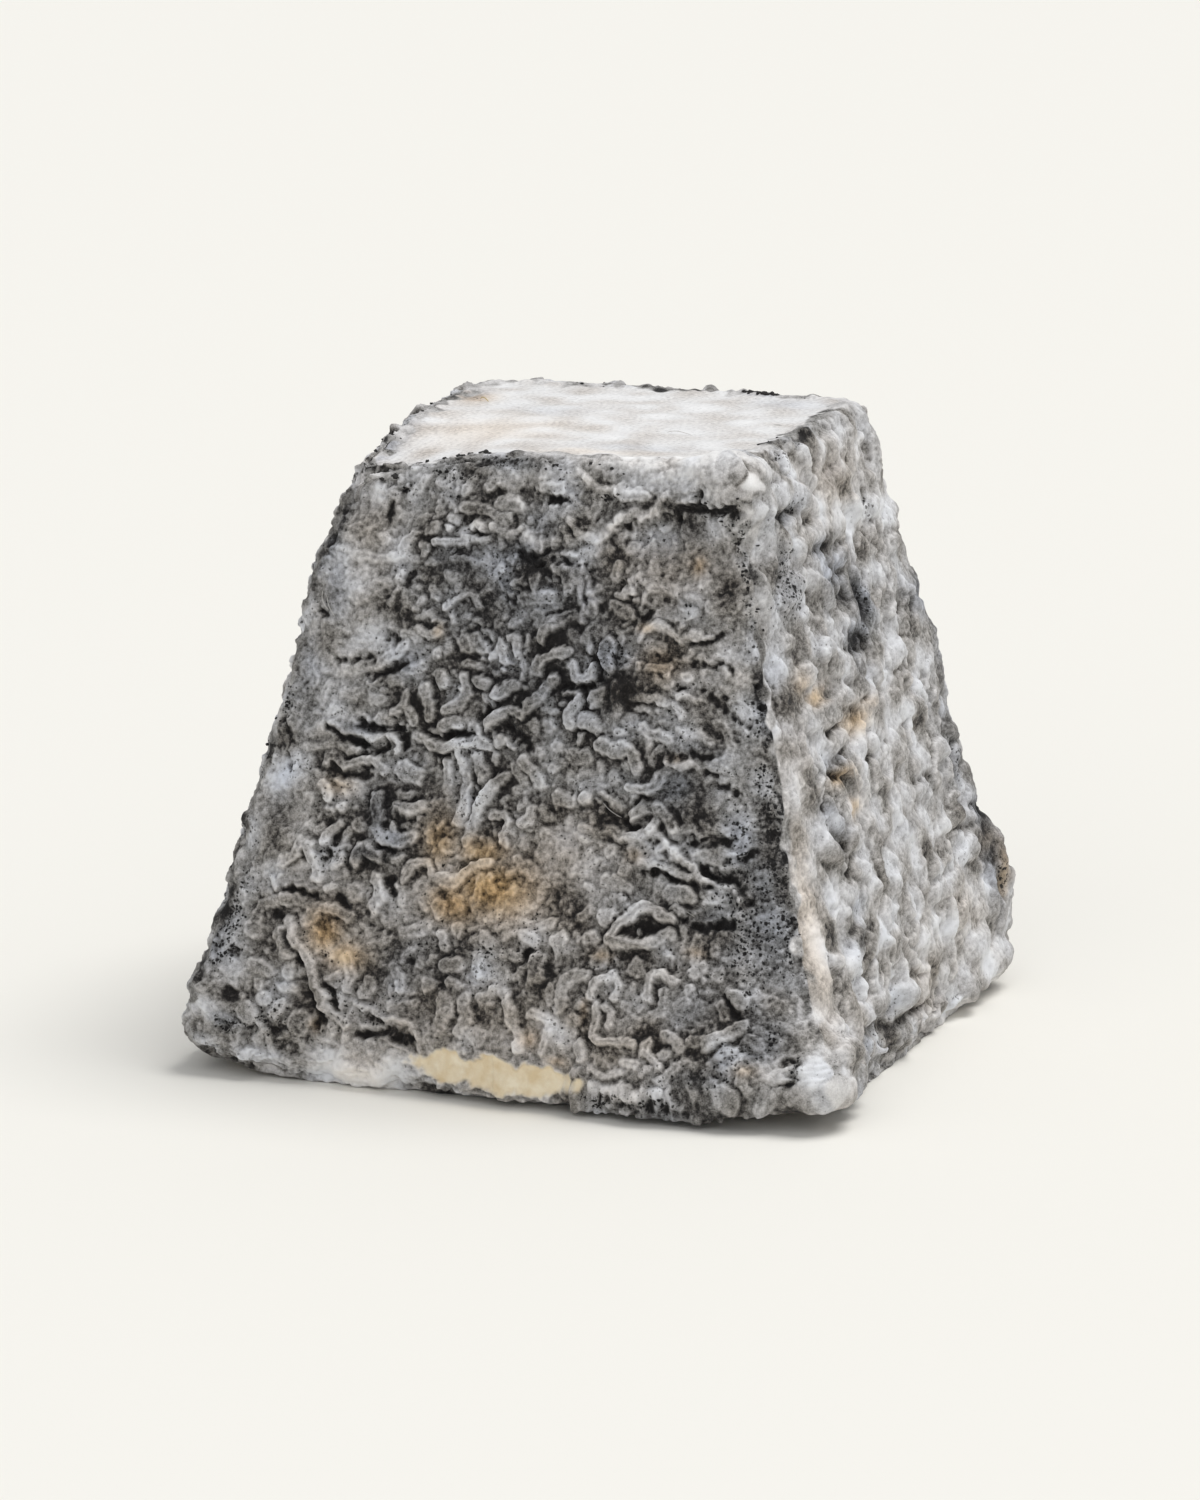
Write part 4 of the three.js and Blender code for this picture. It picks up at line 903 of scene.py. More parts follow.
def side_fields(seed, kinds, flow, rise, softness, stains, drape=1, worms=(), ridges=(), cracks=(), middle=0):
    """The patterns of one side, in millimetres and shares: its relief, and how light, smoky, amber, warm,
    sooty and bare it is. Worms are heaped up to the rise, and blurred by the softness and where the mould is
    mushy. Drape stretches the swells upwards. Thin ridges stand on the heap, and cracks cut into it. Tone
    follows the relief, partly as painted light and shade: light rims of white down with a painted highlight,
    lighter standing parts, and painted shade in the gaps, cracks and hollows. The stains lie round that
    middle of the pattern."""
    random = np.random.default_rng(seed)
    wander = np.stack([
        sum(far * random_field(random, *waves) for far, *waves in WANDER_WAVES)
        for _ in range(2)
    ], -1)
    height, inside, plump = heap(random, worms, kinds, flow, wander)
    stain = {
        name: patches([(strength, across, up + middle, *rest) for strength, across, up, *rest in table])
        for name, table in stains.items()
    }
    wrinkled = rise > LEAST_RISE
    cloud = random_field(random, *CLOUD_WAVES)
    fine = random_field(random, *FINE_WAVES)
    lumps = np.tanh(LUMP_STEEPNESS * random_field(random, *LUMP_WAVES)) * (1 - SOFT_LUMPS * softness)
    swells = random_field(random, *SWELL_WAVES, drape)
    edges = patches(WORN_EDGES) * (middle == 0)
    mush = np.clip(weighed(MUSH_BY, {
        "mush": stain["mush"],
        "bloom": stain["bloom"] * (1 - SOFT_BLOOM * softness * wrinkled),
        "softness": softness,
        "edges": edges,
        "patches": smooth_step(random_field(random, *MUSH_WAVES), *MUSH_RANGE),
    }), 0, 1)
    bare = stain["bare"] + BARE_RAGGED * random_field(random, *BARE_WAVES) + BARE_LUMPY * lumps
    bare = smooth_step(bare, *BARE_RANGE)
    level = np.clip(LEVEL_MEAN + LEVEL_SPREAD * random_field(random, *LEVEL_WAVES), *LEVEL_LIMITS)
    heaped = height * level * rise * (1 - EDGE_WEAR * edges)
    puff = smooth_step(stain["bloom"], *PUFF_RANGE) * wrinkled
    heaped += (blur(heaped, MUSH_BLUR) - heaped) * mush
    heaped += (PUFF_SHARE * blur(heaped, PUFF_BLUR) - heaped) * puff
    ridge_inside, ridge_height = strokes(ridges, wander)
    ridge = np.exp(-((np.minimum(ridge_inside, 0) / RIDGE_FLANK) ** 2)) * (ridge_height > 0)
    crack_inside, crack_depth = strokes(cracks, wander)
    crack = crack_depth * smooth_step(crack_inside - CRACK_RAGGED * lumps, *CRACK_RANGE)
    crack += (blur(crack, CRACK_BLUR) - crack) * min(SOFT_CRACKS * softness, 1)
    relief = (1 - bare) * weighed(HIGHER_BY, {
        "heap": heaped,
        "heap in mush": heaped * mush,
        "lumps": lumps * rise,
        "swells": swells * rise,
        "swells in mush": swells * mush * rise,
        "soft swells": swells * softness * rise,
        "fine": fine * rise,
        "thick mould": smooth_step(stain["bloom"], *THICK_RANGE) * wrinkled,
        "ridge": ridge_height * ridge,
        "crack": crack,
    })
    paste_edge = bare * (1 - bare)
    paste = {"swells": swells * bare, "fine": fine * bare, "all over": bare, "edge": paste_edge}
    relief += weighed(PASTE_HIGHER_BY, paste)

    # Painted shade: the tone darkens where the relief lies below its own blur, as shade falls in the hollows
    hollow_shade = smooth_step(blur(relief, HOLLOW_SHADE_BLUR) - relief, *HOLLOW_SHADE_RANGE)
    crisp = (1 - CRISP_MUSH * mush) * np.clip(height * CRISP_RISE, 0, 1) * wrinkled
    broken = RIM_MEAN + RIM_SPREAD * np.tanh(random_field(random, *BREAK_WAVES))
    # The light rim along a worm's shoulder: partly white down, partly a painted highlight
    rim = np.exp(-(((inside - RIM_DEPTH) / RIM_WIDTH) ** 2)) * smooth_step(plump, *PLUMP_RANGE)
    rim *= crisp * broken
    tone = PLAIN_TONE + weighed(LIGHTER_BY, {
        # Partly white down on standing parts, partly painted light and shade: lighter above the blurred
        # relief, darker below
        "standing_down_and_shade": relief - blur(relief, STANDING_BLUR),
        "hollow_shade": hollow_shade,
        "soft hollow": hollow_shade * softness,
        "rim": rim,
        "crown": smooth_step(inside, *CROWN_RANGE) * crisp,
        # Painted shade in the gaps between the worms, weaker where the mould is mushy
        "gap_shade": (1 - smooth_step(inside, *GAP_SHADE_RANGE)) * (1 - mush),
        "cloud": cloud,
        "wrinkled cloud": cloud * wrinkled,
        "puff": puff,
        "fine": fine,
        # Painted light and shade: where the mould is mushy, its lumps are lighter on top and darker between
        "mushy lumps light and shade": lumps * mush,
        "ridge": ridge,
        # Painted shade: the cracks are darkened in the tone as well as cut into the relief
        "crack": crack * (1 - softness),
        "smoke": stain["smoke"],
        "soot": stain["soot"],
        "shade": stain["shade"],
        "bloom": stain["bloom"],
        "cloudy bloom": stain["bloom"] * cloud * wrinkled,
        "amber": stain["amber"],
        "paste edge": paste_edge,
    })
    smoke = {"stain": stain["smoke"], "all over": wrinkled, "cloud": cloud * wrinkled}
    amber = {"stain": stain["amber"], "hollow_shade": stain["amber"] * hollow_shade, "rim": stain["amber"] * rim}
    warmth = {"all over": 1, "stain": stain["warmth"], "hollow_shade": hollow_shade, "cloud": cloud}
    dust = {"all over": 1, "cloud": cloud, "bloom": stain["bloom"]}
    dust = np.clip(weighed(DUST_BY, dust), 0, 1)
    soot = {"stain": stain["soot"], "dust": dust, "hollow_shade": hollow_shade, "bare": bare}
    return {
        "relief": relief,
        "tone": np.clip(tone, 0, WHITEST),
        "smoke": np.clip(weighed(SMOKIER_BY, smoke), 0, 1),
        "amber": np.clip(weighed(AMBER_BY, amber), 0, 1),
        "warmth": np.clip(weighed(WARMER_BY, warmth), 0, 1),
        "soot": np.clip(weighed(SOOTIER_BY, soot), 0, 1),
        "bare": bare,
    }


UPSIDE_DOWN = 70.0  # a side turned upside down is turned about half this height


def turned(table, across, up):
    """Drawn wrinkles for a hidden side, like those of the front: mirrored where across is -1, and upside
    down where up is -1."""
    places = [np.reshape(row[2:], (-1, 2)) * (across, up) + (0, UPSIDE_DOWN * (up < 0)) for row in table]
    return [(*row[:2], *place.ravel()) for row, place in zip(table, places)]


# Kinds of worm that fill the room between the drawn ones: (how many to try, half width, length, height).
FRONT_KINDS = ((900, 0.8, 4.2, 0.6), (1800, 0.65, 2.6, 0.55), (3000, 0.5, 1.4, 0.5), (4000, 0.36, 0.4, 0.4))
HIDDEN_KINDS = ((500, 0.85, 6.5, 1.1), (700, 0.7, 4.2, 0.95), (900, 0.6, 2.6, 0.7), (1600, 0.42, 1.1, 0.45))
RIGHT_KINDS = ((220, 1.5, 6.5, 1.05), (700, 1.1, 4.2, 0.95), (1800, 0.75, 2.4, 0.8), (2400, 0.48, 1.1, 0.5))
# Quarter: the way the side faces, in quarter turns from +X. Fineness: how many times finer its grid is.
SIDES = {
    "front": dict(
        quarter=-1, fineness=2, seed=4, kinds=FRONT_KINDS, rise=0.95, softness=0,
        flow=(
            (0.8, 22, 45, 9, 16, -8), (0.6, -23, 46, 6, 14, 15), (0.6, 5, 12, 18, 6, 85),
            (0.7, 6, 62, 20, 4, 10),
        ),
        stains=FRONT_STAINS, worms=FRONT_WORMS, ridges=FRONT_RIDGES, cracks=FRONT_CRACKS,
    ),
    "right": dict(
        quarter=0, seed=5, kinds=RIGHT_KINDS, rise=0.95, softness=0.4, drape=2,
        flow=((0.7, 12, 40, 14, 40, 78), (0.6, -18, 42, 9, 20, 0), (0.5, -14, 10, 14, 10, 10)),
        stains=RIGHT_STAINS, worms=RIGHT_WORMS, cracks=RIGHT_CRACKS,
    ),
    "back": dict(
        quarter=1, seed=6, kinds=HIDDEN_KINDS, rise=0.95, softness=0.1, flow=((0.4, 0, 35, 40, 40, 70),),
        stains=BACK_STAINS, worms=turned(FRONT_WORMS, -1, 1), ridges=turned(FRONT_RIDGES, -1, 1),
        cracks=turned(FRONT_CRACKS, -1, 1),
    ),
    "left": dict(
        quarter=2, seed=7, kinds=HIDDEN_KINDS, rise=0.95, softness=0, flow=((0.5, 10, 40, 20, 20, 10),),
        stains=LEFT_STAINS, worms=turned(FRONT_WORMS, 1, -1), ridges=turned(FRONT_RIDGES, 1, -1),
        cracks=turned(FRONT_CRACKS, 1, -1),
    ),
}


WITHIN_THE_LAST = 1.001  # cells in from the pattern's end


def sampled(field, across, up):
    """A pattern's values at places on the side, by bilinear interpolation."""
    column = np.clip((across - pattern_across[0]) / CELL, 0, PATTERN_WIDE - WITHIN_THE_LAST)
    row = np.clip((up - pattern_up[0]) / CELL, 0, PATTERN_TALL - WITHIN_THE_LAST)
    c, r = column.astype(int), row.astype(int)
    u, v = column - c, row - r
    lower = field[r, c] * (1 - u) + field[r, c + 1] * u
    upper = field[r + 1, c] * (1 - u) + field[r + 1, c + 1] * u
    return lower * (1 - v) + upper * v


# ---- The rind: its skins -----------------------------------------------------------------------------
# The rind covers the curd all over. It is made as nine closed skins, four on the front face and one on each
# of the others, because one would be too fine. Past a shared edge each skin dives under its neighbour.

SKIN_CELLS = 298  # across and up each skin
SKIN_OVERLAP = 2.0  # a skin goes on this far past a shared edge
SKIN_DIVE = 1.0  # and goes down this much for each millimetre past it
SKIN_WALL = 2.6  # depth of a skin's hidden wall
SEAM_FADE = 1.2  # wrinkles die away this near a shared edge
SEAM_BLEND = 1.0  # and each pattern turns into the edge's own, which both skins share
SEAM_WAVER = 0.7  # along a line that wavers this far
SEAM_WAVER_LENGTH = 2.6
SKIN_LEVEL = 0.25  # the relief's middle height, where the plain form lies
SKIN_FOLD_RISE = 0.25  # the large folds show this much through the finer wrinkles
FOOT_GAP = 0.6  # the round of the foot draws in this far, so a dark line lies under it
FOOT_GAP_UP = 1.4


def rim_of_grid(rows, columns):
    """The indices round a grid of points, in the direction of its faces."""
    index = np.arange(rows * columns).reshape(rows, columns)
    return np.concatenate([index[0, :-1], index[:-1, -1], index[-1, :0:-1], index[:0:-1, 0]])


def closed_skin(points, normals):
    """A grid made a closed shell: its quads, a wall down from its rim, and a fan to a point beneath."""
    rows, columns = points.shape[:2]
    rim = rim_of_grid(rows, columns)
    wall = points.reshape(-1, 3)[rim] - normals.reshape(-1, 3)[rim] * SKIN_WALL
    apex = wall.mean(0) - normals.mean((0, 1)) * SKIN_WALL / 2
    first = rows * columns
    low = first + np.arange(len(rim))
    grid = np.arange(first).reshape(rows, columns)
    quads = np.stack([grid[:-1, :-1], grid[:-1, 1:], grid[1:, 1:], grid[1:, :-1]], -1).reshape(-1, 4)
    walls = np.stack([np.roll(rim, -1), rim, low, np.roll(low, -1)], -1)
    fan = np.stack([np.roll(low, -1), low, np.full(len(rim), first + len(rim))], -1)
    return np.concatenate([points.reshape(-1, 3), wall, [apex]]), [quads, walls, fan]


def attach(piece, values, spare):
    """Stores each pattern as a point attribute. The hidden wall and apex get its mean."""
    for name, field in values.items():
        attribute = piece.data.attributes.new(name, "FLOAT", "POINT")
        padded = np.concatenate([field.ravel(), np.full(spare, field.mean())])
        attribute.data.foreach_set("value", padded.astype(np.float32))


EDGE_WAVES = 32
EDGE_LUMP_STEEPNESS = 1.3
EDGE_LUMP_LENGTH = 3.1
EDGE_LUMP_RISE = 0.1
EDGE_GRAIN_LENGTH = 1.3
EDGE_GRAIN_RISE = 0.05
EDGE_DOWN_LENGTH = 5
EDGE_CRUMB_LENGTH = 1.7
EDGE_TOP_FROM = 45  # the edges whiten from this height up
EDGE_TOP_LIGHTER = 0.15
EDGE_DOWN_LIGHTER = 0.14
EDGE_CRUMBS_LIGHTER = 0.08
EDGE_DARK_RANGE = (1, 2.4)  # crumbs standing out of the down by this much are dark
EDGE_DARK = 0.35
EDGE_WARMTH = 0.1
EDGE_SOOT = 0.35
EDGE_SOOT_LESS = 0.2  # where down is thick
# Mould and ash along the shared edges: (how much lighter or darker, x, y, z, radius).
EDGE_STAINS = (
    (-0.45, -23, -24, 58, 7), (-0.15, 25, -26, 44, 7), (-0.1, 28.5, -29.5, 32, 6), (-0.4, -6, -23, 66, 5),
    (0.3, 2, -23, 66, 3), (0.5, 14, -23, 66, 6), (0.4, -21, -23, 65, 3), (0.4, 32, -33, 17, 7),
    (0.8, -15, -36, 0, 6), (0.35, 33, -34, 3, 7), (-0.35, 23, -1, 66, 6), (0.4, 23, -18, 66, 5),
    (-0.3, -23, 8, 66, 5), (-0.3, 0, 23, 66, 7), (0.4, 33, 14, 0, 9), (-0.35, 26, 27, 44, 7),
    (-0.4, 31, 31, 20, 5), (0.4, -32, 32, 8, 9), (-0.3, -27, 28, 36, 8), (-0.3, -31, -31, 16, 6),
)


def edge_relief(plain):
    """The relief that two skins share along their edge: lumps as large as the wrinkles beside them."""
    lumps = wave_sum(plain, EDGE_LUMP_LENGTH, EDGE_WAVES, 2 * FOLD_PHASE_STEP)
    grain = wave_sum(plain, EDGE_GRAIN_LENGTH, EDGE_WAVES, 3 * FOLD_PHASE_STEP)
    return EDGE_LUMP_RISE * np.tanh(EDGE_LUMP_STEEPNESS * lumps) + EDGE_GRAIN_RISE * grain


def edge_values(plain):
    """The patterns that two skins share along their edge: grey down with dark crumbs, whitest at the top."""
    down = wave_sum(plain, EDGE_DOWN_LENGTH, EDGE_WAVES, FOLD_PHASE_STEP)
    crumbs = wave_sum(plain, EDGE_CRUMB_LENGTH, EDGE_WAVES, 1 + FOLD_PHASE_STEP)
    towards_top = smooth_step(plain[..., 2], EDGE_TOP_FROM, HEIGHT)
    none = np.zeros(down.shape)
    tone = PLAIN_TONE + EDGE_TOP_LIGHTER * towards_top
    tone += EDGE_DOWN_LIGHTER * down + EDGE_CRUMBS_LIGHTER * crumbs
    for strength, *middle, radius in EDGE_STAINS:
        tone += strength * np.exp(-(((plain - middle) ** 2).sum(-1)) / radius**2)
    return {
        "tone": tone - EDGE_DARK * smooth_step(crumbs - down, *EDGE_DARK_RANGE),
        "smoke": none,
        "amber": none,
        "warmth": none + EDGE_WARMTH,
        "soot": np.clip(EDGE_SOOT - EDGE_SOOT_LESS * down, 0, 1),
        "bare": none,
    }


def skinned(name, plain, seam, across, up, character, material):
    """The skin on one face: the plain grid ripened, raised by its relief, and let down past its seams. A
    grid finer than one skin is shared out among several, which meet in the same points."""
    values = {key: sampled(field, across, up) for key, field in side_fields(**character).items()}
    form = ripened(plain, grid_normals(plain), SKIN_FOLD_RISE) - MIDDLE
    normals = grid_normals(form)
    shared = edge_relief(plain)
    own = values.pop("relief") - SKIN_LEVEL
    clear = smooth_step(-seam, 0, SEAM_FADE)
    height = shared + (own - shared) * clear - SKIN_DIVE * np.maximum(seam, 0)
    height -= FOOT_GAP * np.exp(-(((up - FOOT_GAP_UP) / FOOT_GAP_UP) ** 2)) * clear
    waver = SEAM_WAVER * wave_sum(plain, SEAM_WAVER_LENGTH, EDGE_WAVES, FOLD_PHASE_STEP)
    uneven = np.maximum(-seam + waver, 0) * (seam < 0)
    for key, shared in edge_values(plain).items():
        values[key] = shared + (values[key] - shared) * smooth_step(uneven, 0, SEAM_BLEND)
    points = form + normals * height[..., None]
    points[..., 2] = np.maximum(points[..., 2], 0)
    rows, columns = (
        [slice(start, start + SKIN_CELLS + 1) for start in range(0, size - 1, SKIN_CELLS)]
        for size in seam.shape
    )
    parts = [(row, column) for row in rows for column in columns]
    for number, part in enumerate(parts, 1):
        loose, faces = closed_skin(points[part], normals[part])
        piece = build_object(name if len(parts) == 1 else f"{name}_{number}", loose, faces, material)
        attach(piece, {key: field[part] for key, field in values.items()}, len(loose) - seam[part].size)
        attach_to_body(piece, "root")
        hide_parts("cheese")
    return across, up, points, normals


def feed(socket, value):
    """Links an output to a socket, or sets the socket to a number or colour."""
    if isinstance(value, bpy.types.NodeSocket):
        socket.id_data.links.new(value, socket)
    else:
        socket.default_value = value


def math_node(nodes, operation, first, second, clamp=False):
    """A Math node on two numbers or outputs."""
    node = nodes.new("ShaderNodeMath")
    node.operation = operation
    node.use_clamp = clamp
    feed(node.inputs[0], first)
    feed(node.inputs[1], second)
    return node.outputs["Value"]


def mixed(nodes, colour, mask, other, blend="MULTIPLY"):
    """The colour with another one multiplied or mixed in by a mask."""
    node = nodes.new("ShaderNodeMix")
    node.data_type = "RGBA"
    node.blend_type = blend
    feed(node.inputs["Factor"], mask)
    feed(node.inputs["A"], colour)
    feed(node.inputs["B"], other)
    return node.outputs["Result"]


# Noise: (cells in a metre, octaves, roughness).
GRAIN = (2600, 4, 0.65)
DOWN = (6500, 3, 0.6)
PASTE_GRAIN = (500, 5)
NOISE_MIDDLE = 0.5
SPECK_CELLS = 2600
SPECK_THRESHOLD = 1.05  # a cell has a speck where its chance and the soot add up to more
SPECK_GROWTH = 0.9  # and the speck's radius is this share of what they have over
SPECK_RAGGED = 1.2
SPECK_SHARPNESS = 5
SPECK_DARKNESS = 0.45
SPECK_LEAST = 0.4
FUZZ = 0.58  # how far the down spreads the tone, and the grain after it
MOTTLE = 0.8
CALM_FROM = 1.6  # they spread it more the further it lies below this, so the whitest mould is calm
TONE_AT_WHITE = 1.35
TONE_COLOURS = (
    (0.0, (0.010, 0.009, 0.009)),
    (0.114, (0.030, 0.028, 0.027)),
    (0.22, (0.10, 0.095, 0.09)),
    (0.367, (0.25, 0.245, 0.235)),
    (0.52, (0.42, 0.41, 0.405)),
    (0.67, (0.62, 0.61, 0.607)),
    (0.82, (0.80, 0.793, 0.787)),
    (1.0, (0.93, 0.925, 0.92)),
)
TINTS = (
    ("smoke", (0.75, 0.79, 0.87, 1)),
    ("warmth", (1.065, 0.975, 0.875, 1)),
    ("amber", (1.14, 0.81, 0.42, 1)),
)
PASTE_COLOURS = ((0.35, (0.76, 0.61, 0.39)), (0.65, (0.92, 0.82, 0.63)))
RIND_BUMP = 0.15  # millimetres
RIND_BUMP_STRENGTH = 0.5
RIND_SETTINGS = {
    "Roughness": 0.85,
    "Specular IOR Level": 0.3,
    "Sheen Weight": 0.1,
    "Sheen Roughness": 0.5,
}


def rind_material():
    """Ash and mould on curd, read from the patterns that the skins carry. Soot breaks up into black
    specks, tone runs from black valleys to white down, and smoke, warmth, amber and cream tint it."""
    material = bpy.data.materials.new("ashen_rind")
    material.use_nodes = True
    nodes = material.node_tree.nodes
    shader = nodes["Principled BSDF"]
    place = nodes.new("ShaderNodeTexCoord").outputs["Object"]

    def pattern(name):
        """The pattern of that name, as the skins carry it."""
        node = nodes.new("ShaderNodeAttribute")
        node.attribute_name = name
        return node.outputs["Fac"]

    def centred(noise, strength):
        """The noise spread evenly about nought."""
        return math_node(nodes, "MULTIPLY", math_node(nodes, "SUBTRACT", noise, NOISE_MIDDLE), strength)

    soot = pattern("soot")
    grain = noise_texture(nodes, place, *GRAIN)
    down = noise_texture(nodes, place, *DOWN)
    cells = nodes.new("ShaderNodeTexVoronoi")
    feed(cells.inputs["Scale"], SPECK_CELLS)
    feed(cells.inputs["Vector"], place)
    chance = nodes.new("ShaderNodeSeparateColor")
    feed(chance.inputs["Color"], cells.outputs["Color"])
    likely = math_node(nodes, "ADD", chance.outputs["Red"], soot)
    radius = math_node(nodes, "MULTIPLY", math_node(nodes, "ADD", likely, -SPECK_THRESHOLD), SPECK_GROWTH)
    outside = math_node(nodes, "ADD", cells.outputs["Distance"], centred(down, SPECK_RAGGED))
    inside = math_node(nodes, "SUBTRACT", radius, outside)
    speck = math_node(nodes, "MULTIPLY", inside, SPECK_SHARPNESS, clamp=True)
    depth = math_node(nodes, "MULTIPLY", math_node(nodes, "ADD", soot, SPECK_LEAST), SPECK_DARKNESS)
    tone = math_node(nodes, "SUBTRACT", pattern("tone"), math_node(nodes, "MULTIPLY", speck, depth))
    calm = math_node(nodes, "SUBTRACT", CALM_FROM, tone, clamp=True)
    spread = math_node(nodes, "ADD", centred(down, FUZZ), centred(grain, MOTTLE))
    tone = math_node(nodes, "ADD", tone, math_node(nodes, "MULTIPLY", spread, calm))
    colour = colour_ramp(nodes, math_node(nodes, "DIVIDE", tone, TONE_AT_WHITE), TONE_COLOURS)
    for name, tint in TINTS:
        colour = mixed(nodes, colour, pattern(name), tint)
    paste = colour_ramp(nodes, noise_texture(nodes, place, *PASTE_GRAIN), PASTE_COLOURS)
    feed(shader.inputs["Base Color"], mixed(nodes, colour, pattern("bare"), paste, "MIX"))

    bump = nodes.new("ShaderNodeBump")
    bump.inputs["Strength"].default_value = RIND_BUMP_STRENGTH
    bump.inputs["Distance"].default_value = RIND_BUMP * MM
    feed(bump.inputs["Height"], math_node(nodes, "ADD", down, grain))
    feed(shader.inputs["Normal"], bump.outputs["Normal"])
    for name, value in RIND_SETTINGS.items():
        shader.inputs[name].default_value = value
    return material


RIND = rind_material()


def build_side(side, quarter, fineness=1, **character):
    """The skin of one side: columns across it at even turns, rows up it at even lengths. Its grid is so
    many times finer than one skin's."""
    overlap = SKIN_OVERLAP / (BASE_WIDTH / 2)
    points = SKIN_CELLS * fineness + 1
    along = np.linspace(-1 - overlap, 1 + overlap, points)
    length = np.linspace(FOOT_STARTS - SKIN_OVERLAP, TOP_ENDS + SKIN_OVERLAP, points)[:, None]
    turn = (quarter + along / 2) * QUARTER
    plain = plain_form(*squared(turn), length)
    across = plain @ (-math.sin(quarter * QUARTER), math.cos(quarter * QUARTER), 0)
    up = np.broadcast_to(length - FOOT_STARTS, across.shape)
    reach = np.interp(length, PROFILE_LENGTH, PROFILE_REACH)
    past_corner = (np.abs(along) - 1) * reach
    seam = np.maximum(past_corner, np.maximum(FOOT_STARTS - length, length - TOP_ENDS))
    return skinned("rind_" + side, plain, seam, across, up, character, RIND)


surfaces = {side: build_side(side, **character) for side, character in SIDES.items()}


def build_level_skin(name, half_width, length_of, upwards, columns, **character):
    """The skin of the top face or the underside: a square grid laid flat, whose squared distance from
    the middle becomes a length along the profile."""
    reach = half_width + SKIN_OVERLAP
    x, y = np.meshgrid(np.linspace(-reach, reach, columns) * upwards, np.linspace(-reach, reach, columns))
    distance = (np.abs(x) ** CORNER_POWER + np.abs(y) ** CORNER_POWER) ** (1 / CORNER_POWER)
    distance = np.maximum(distance, TINY)
    plain = plain_form(x / distance, y / distance, length_of(distance))
    return skinned(name, plain, distance - half_width, x, y + LEVEL_MIDDLE, character, RIND)


LEVEL_MIDDLE = 35.0  # the patterns of the top face and the underside are centred this far up
TOP_COLUMNS = 299
UNDERSIDE_COLUMNS = 140
surfaces["top"] = build_level_skin(
    "rind_top", TOP_WIDTH / 2 - TOP_RADIUS, lambda distance: WHOLE_PROFILE - distance, 1, TOP_COLUMNS,
    seed=8, kinds=FRONT_KINDS, flow=(), rise=0.1, softness=1, stains=TOP_STAINS, middle=LEVEL_MIDDLE,
)
build_level_skin(
    "rind_underside", FOOT_STARTS, lambda distance: distance, -1, UNDERSIDE_COLUMNS,
    seed=9, kinds=FRONT_KINDS, flow=(), rise=0.2, softness=1, stains=FOOT_STAINS, middle=LEVEL_MIDDLE,
)

# ---- The crumbs and fibres ---------------------------------------------------------------------------
# Dark flakes of dried ash cling to the rims, and a few straw bits and hairs lie on the mould. Each crumb is
# a small uneven ball, each fibre a thin tube bent along the surface.

CRUMB_SEED = 12
CRUMB_RINGS = 4
CRUMB_SIDES = 7
CRUMB_SIZES = (0.35, 1)  # shares of its row's size
CRUMB_SHAPES = ((0.5, 0.5, 0.3), (1.2, 1.2, 0.7))  # the flattest and the fullest
CRUMB_DENTS = (0.6, 1.2)
CRUMB_LIFT = 0.02
FIBRE_SIDES = 5
FIBRE_POINTS = 12
FIBRE_LIFT = 0.1
FIBRE_ARCH = 0.35  # its middle stands this far off the mould
# Colours and roughness.
DRIED_ASH = ((0.022, 0.02, 0.019), 0.9)
STRAW = ((0.62, 0.50, 0.28), 0.6)
PALE_HAIR = ((0.55, 0.53, 0.50), 0.5)
# Rows of crumbs: (surface, how many, across and up of both ends, spread, size).
CRUMB_ROWS = (
    ("top", 36, -19.5, 13.8, -7, 14.2, 0.8, 0.6), ("top", 9, -21, 14.5, -20.5, 40, 0.5, 0.3),
    ("top", 8, -12, 55.6, -8, 55.8, 0.4, 0.4), ("top", 9, 0, 55.9, 9, 55.9, 0.3, 0.25),
    ("top", 26, 8, 55.2, 13, 55.3, 0.25, 0.55), ("top", 14, 20.5, 16, 20.8, 50, 0.5, 0.25),
    ("front", 16, -7, 67.5, 9, 67.6, 0.6, 0.32), ("front", 12, 14, 64.2, 21, 63.6, 0.5, 0.4),
    ("front", 14, -23.5, 60, -27.5, 40, 0.7, 0.25), ("front", 16, 24.2, 55, 31, 20, 0.6, 0.28),
    ("left", 16, -15, 67.6, 15, 67.8, 0.7, 0.4), ("back", 14, -14, 67.6, 12, 67.8, 0.7, 0.4),
    ("left", 12, 23.8, 57, 31, 20, 0.6, 0.28), ("back", 12, 23.8, 57, 31, 20, 0.6, 0.28),
    ("right", 12, -22.5, 60, -24, 52, 0.8, 0.25),
)
# Fibres: (surface, across and up of both ends, bow to one side, radius, colour by name).
FIBRES = (
    ("top", -17.5, 43.5, -15.8, 41.2, 0.1, 0.07, "straw"),
    ("front", 17.8, 24.8, 20.3, 22.4, 0.3, 0.03, "hair"),
    ("front", 9.6, 33.4, 11.6, 31.9, 0.2, 0.03, "hair"), ("front", -23, 53, -22, 51, 0.2, 0.04, "hair"),
    ("front", -22.4, 52.6, -21.2, 50.4, 0.1, 0.03, "hair"),
    ("right", -11.6, 34.6, -9.8, 31.4, 0.6, 0.06, "hair"), ("back", 6, 40, 9.5, 38.2, 0.7, 0.035, "hair"),
    ("left", -9, 33, -6.8, 30, 0.5, 0.035, "hair"), ("left", 15, 50, 16.6, 48.4, 0.1, 0.06, "straw"),
    ("top", 8, 30, 11.2, 29, 0.5, 0.03, "hair"),
)


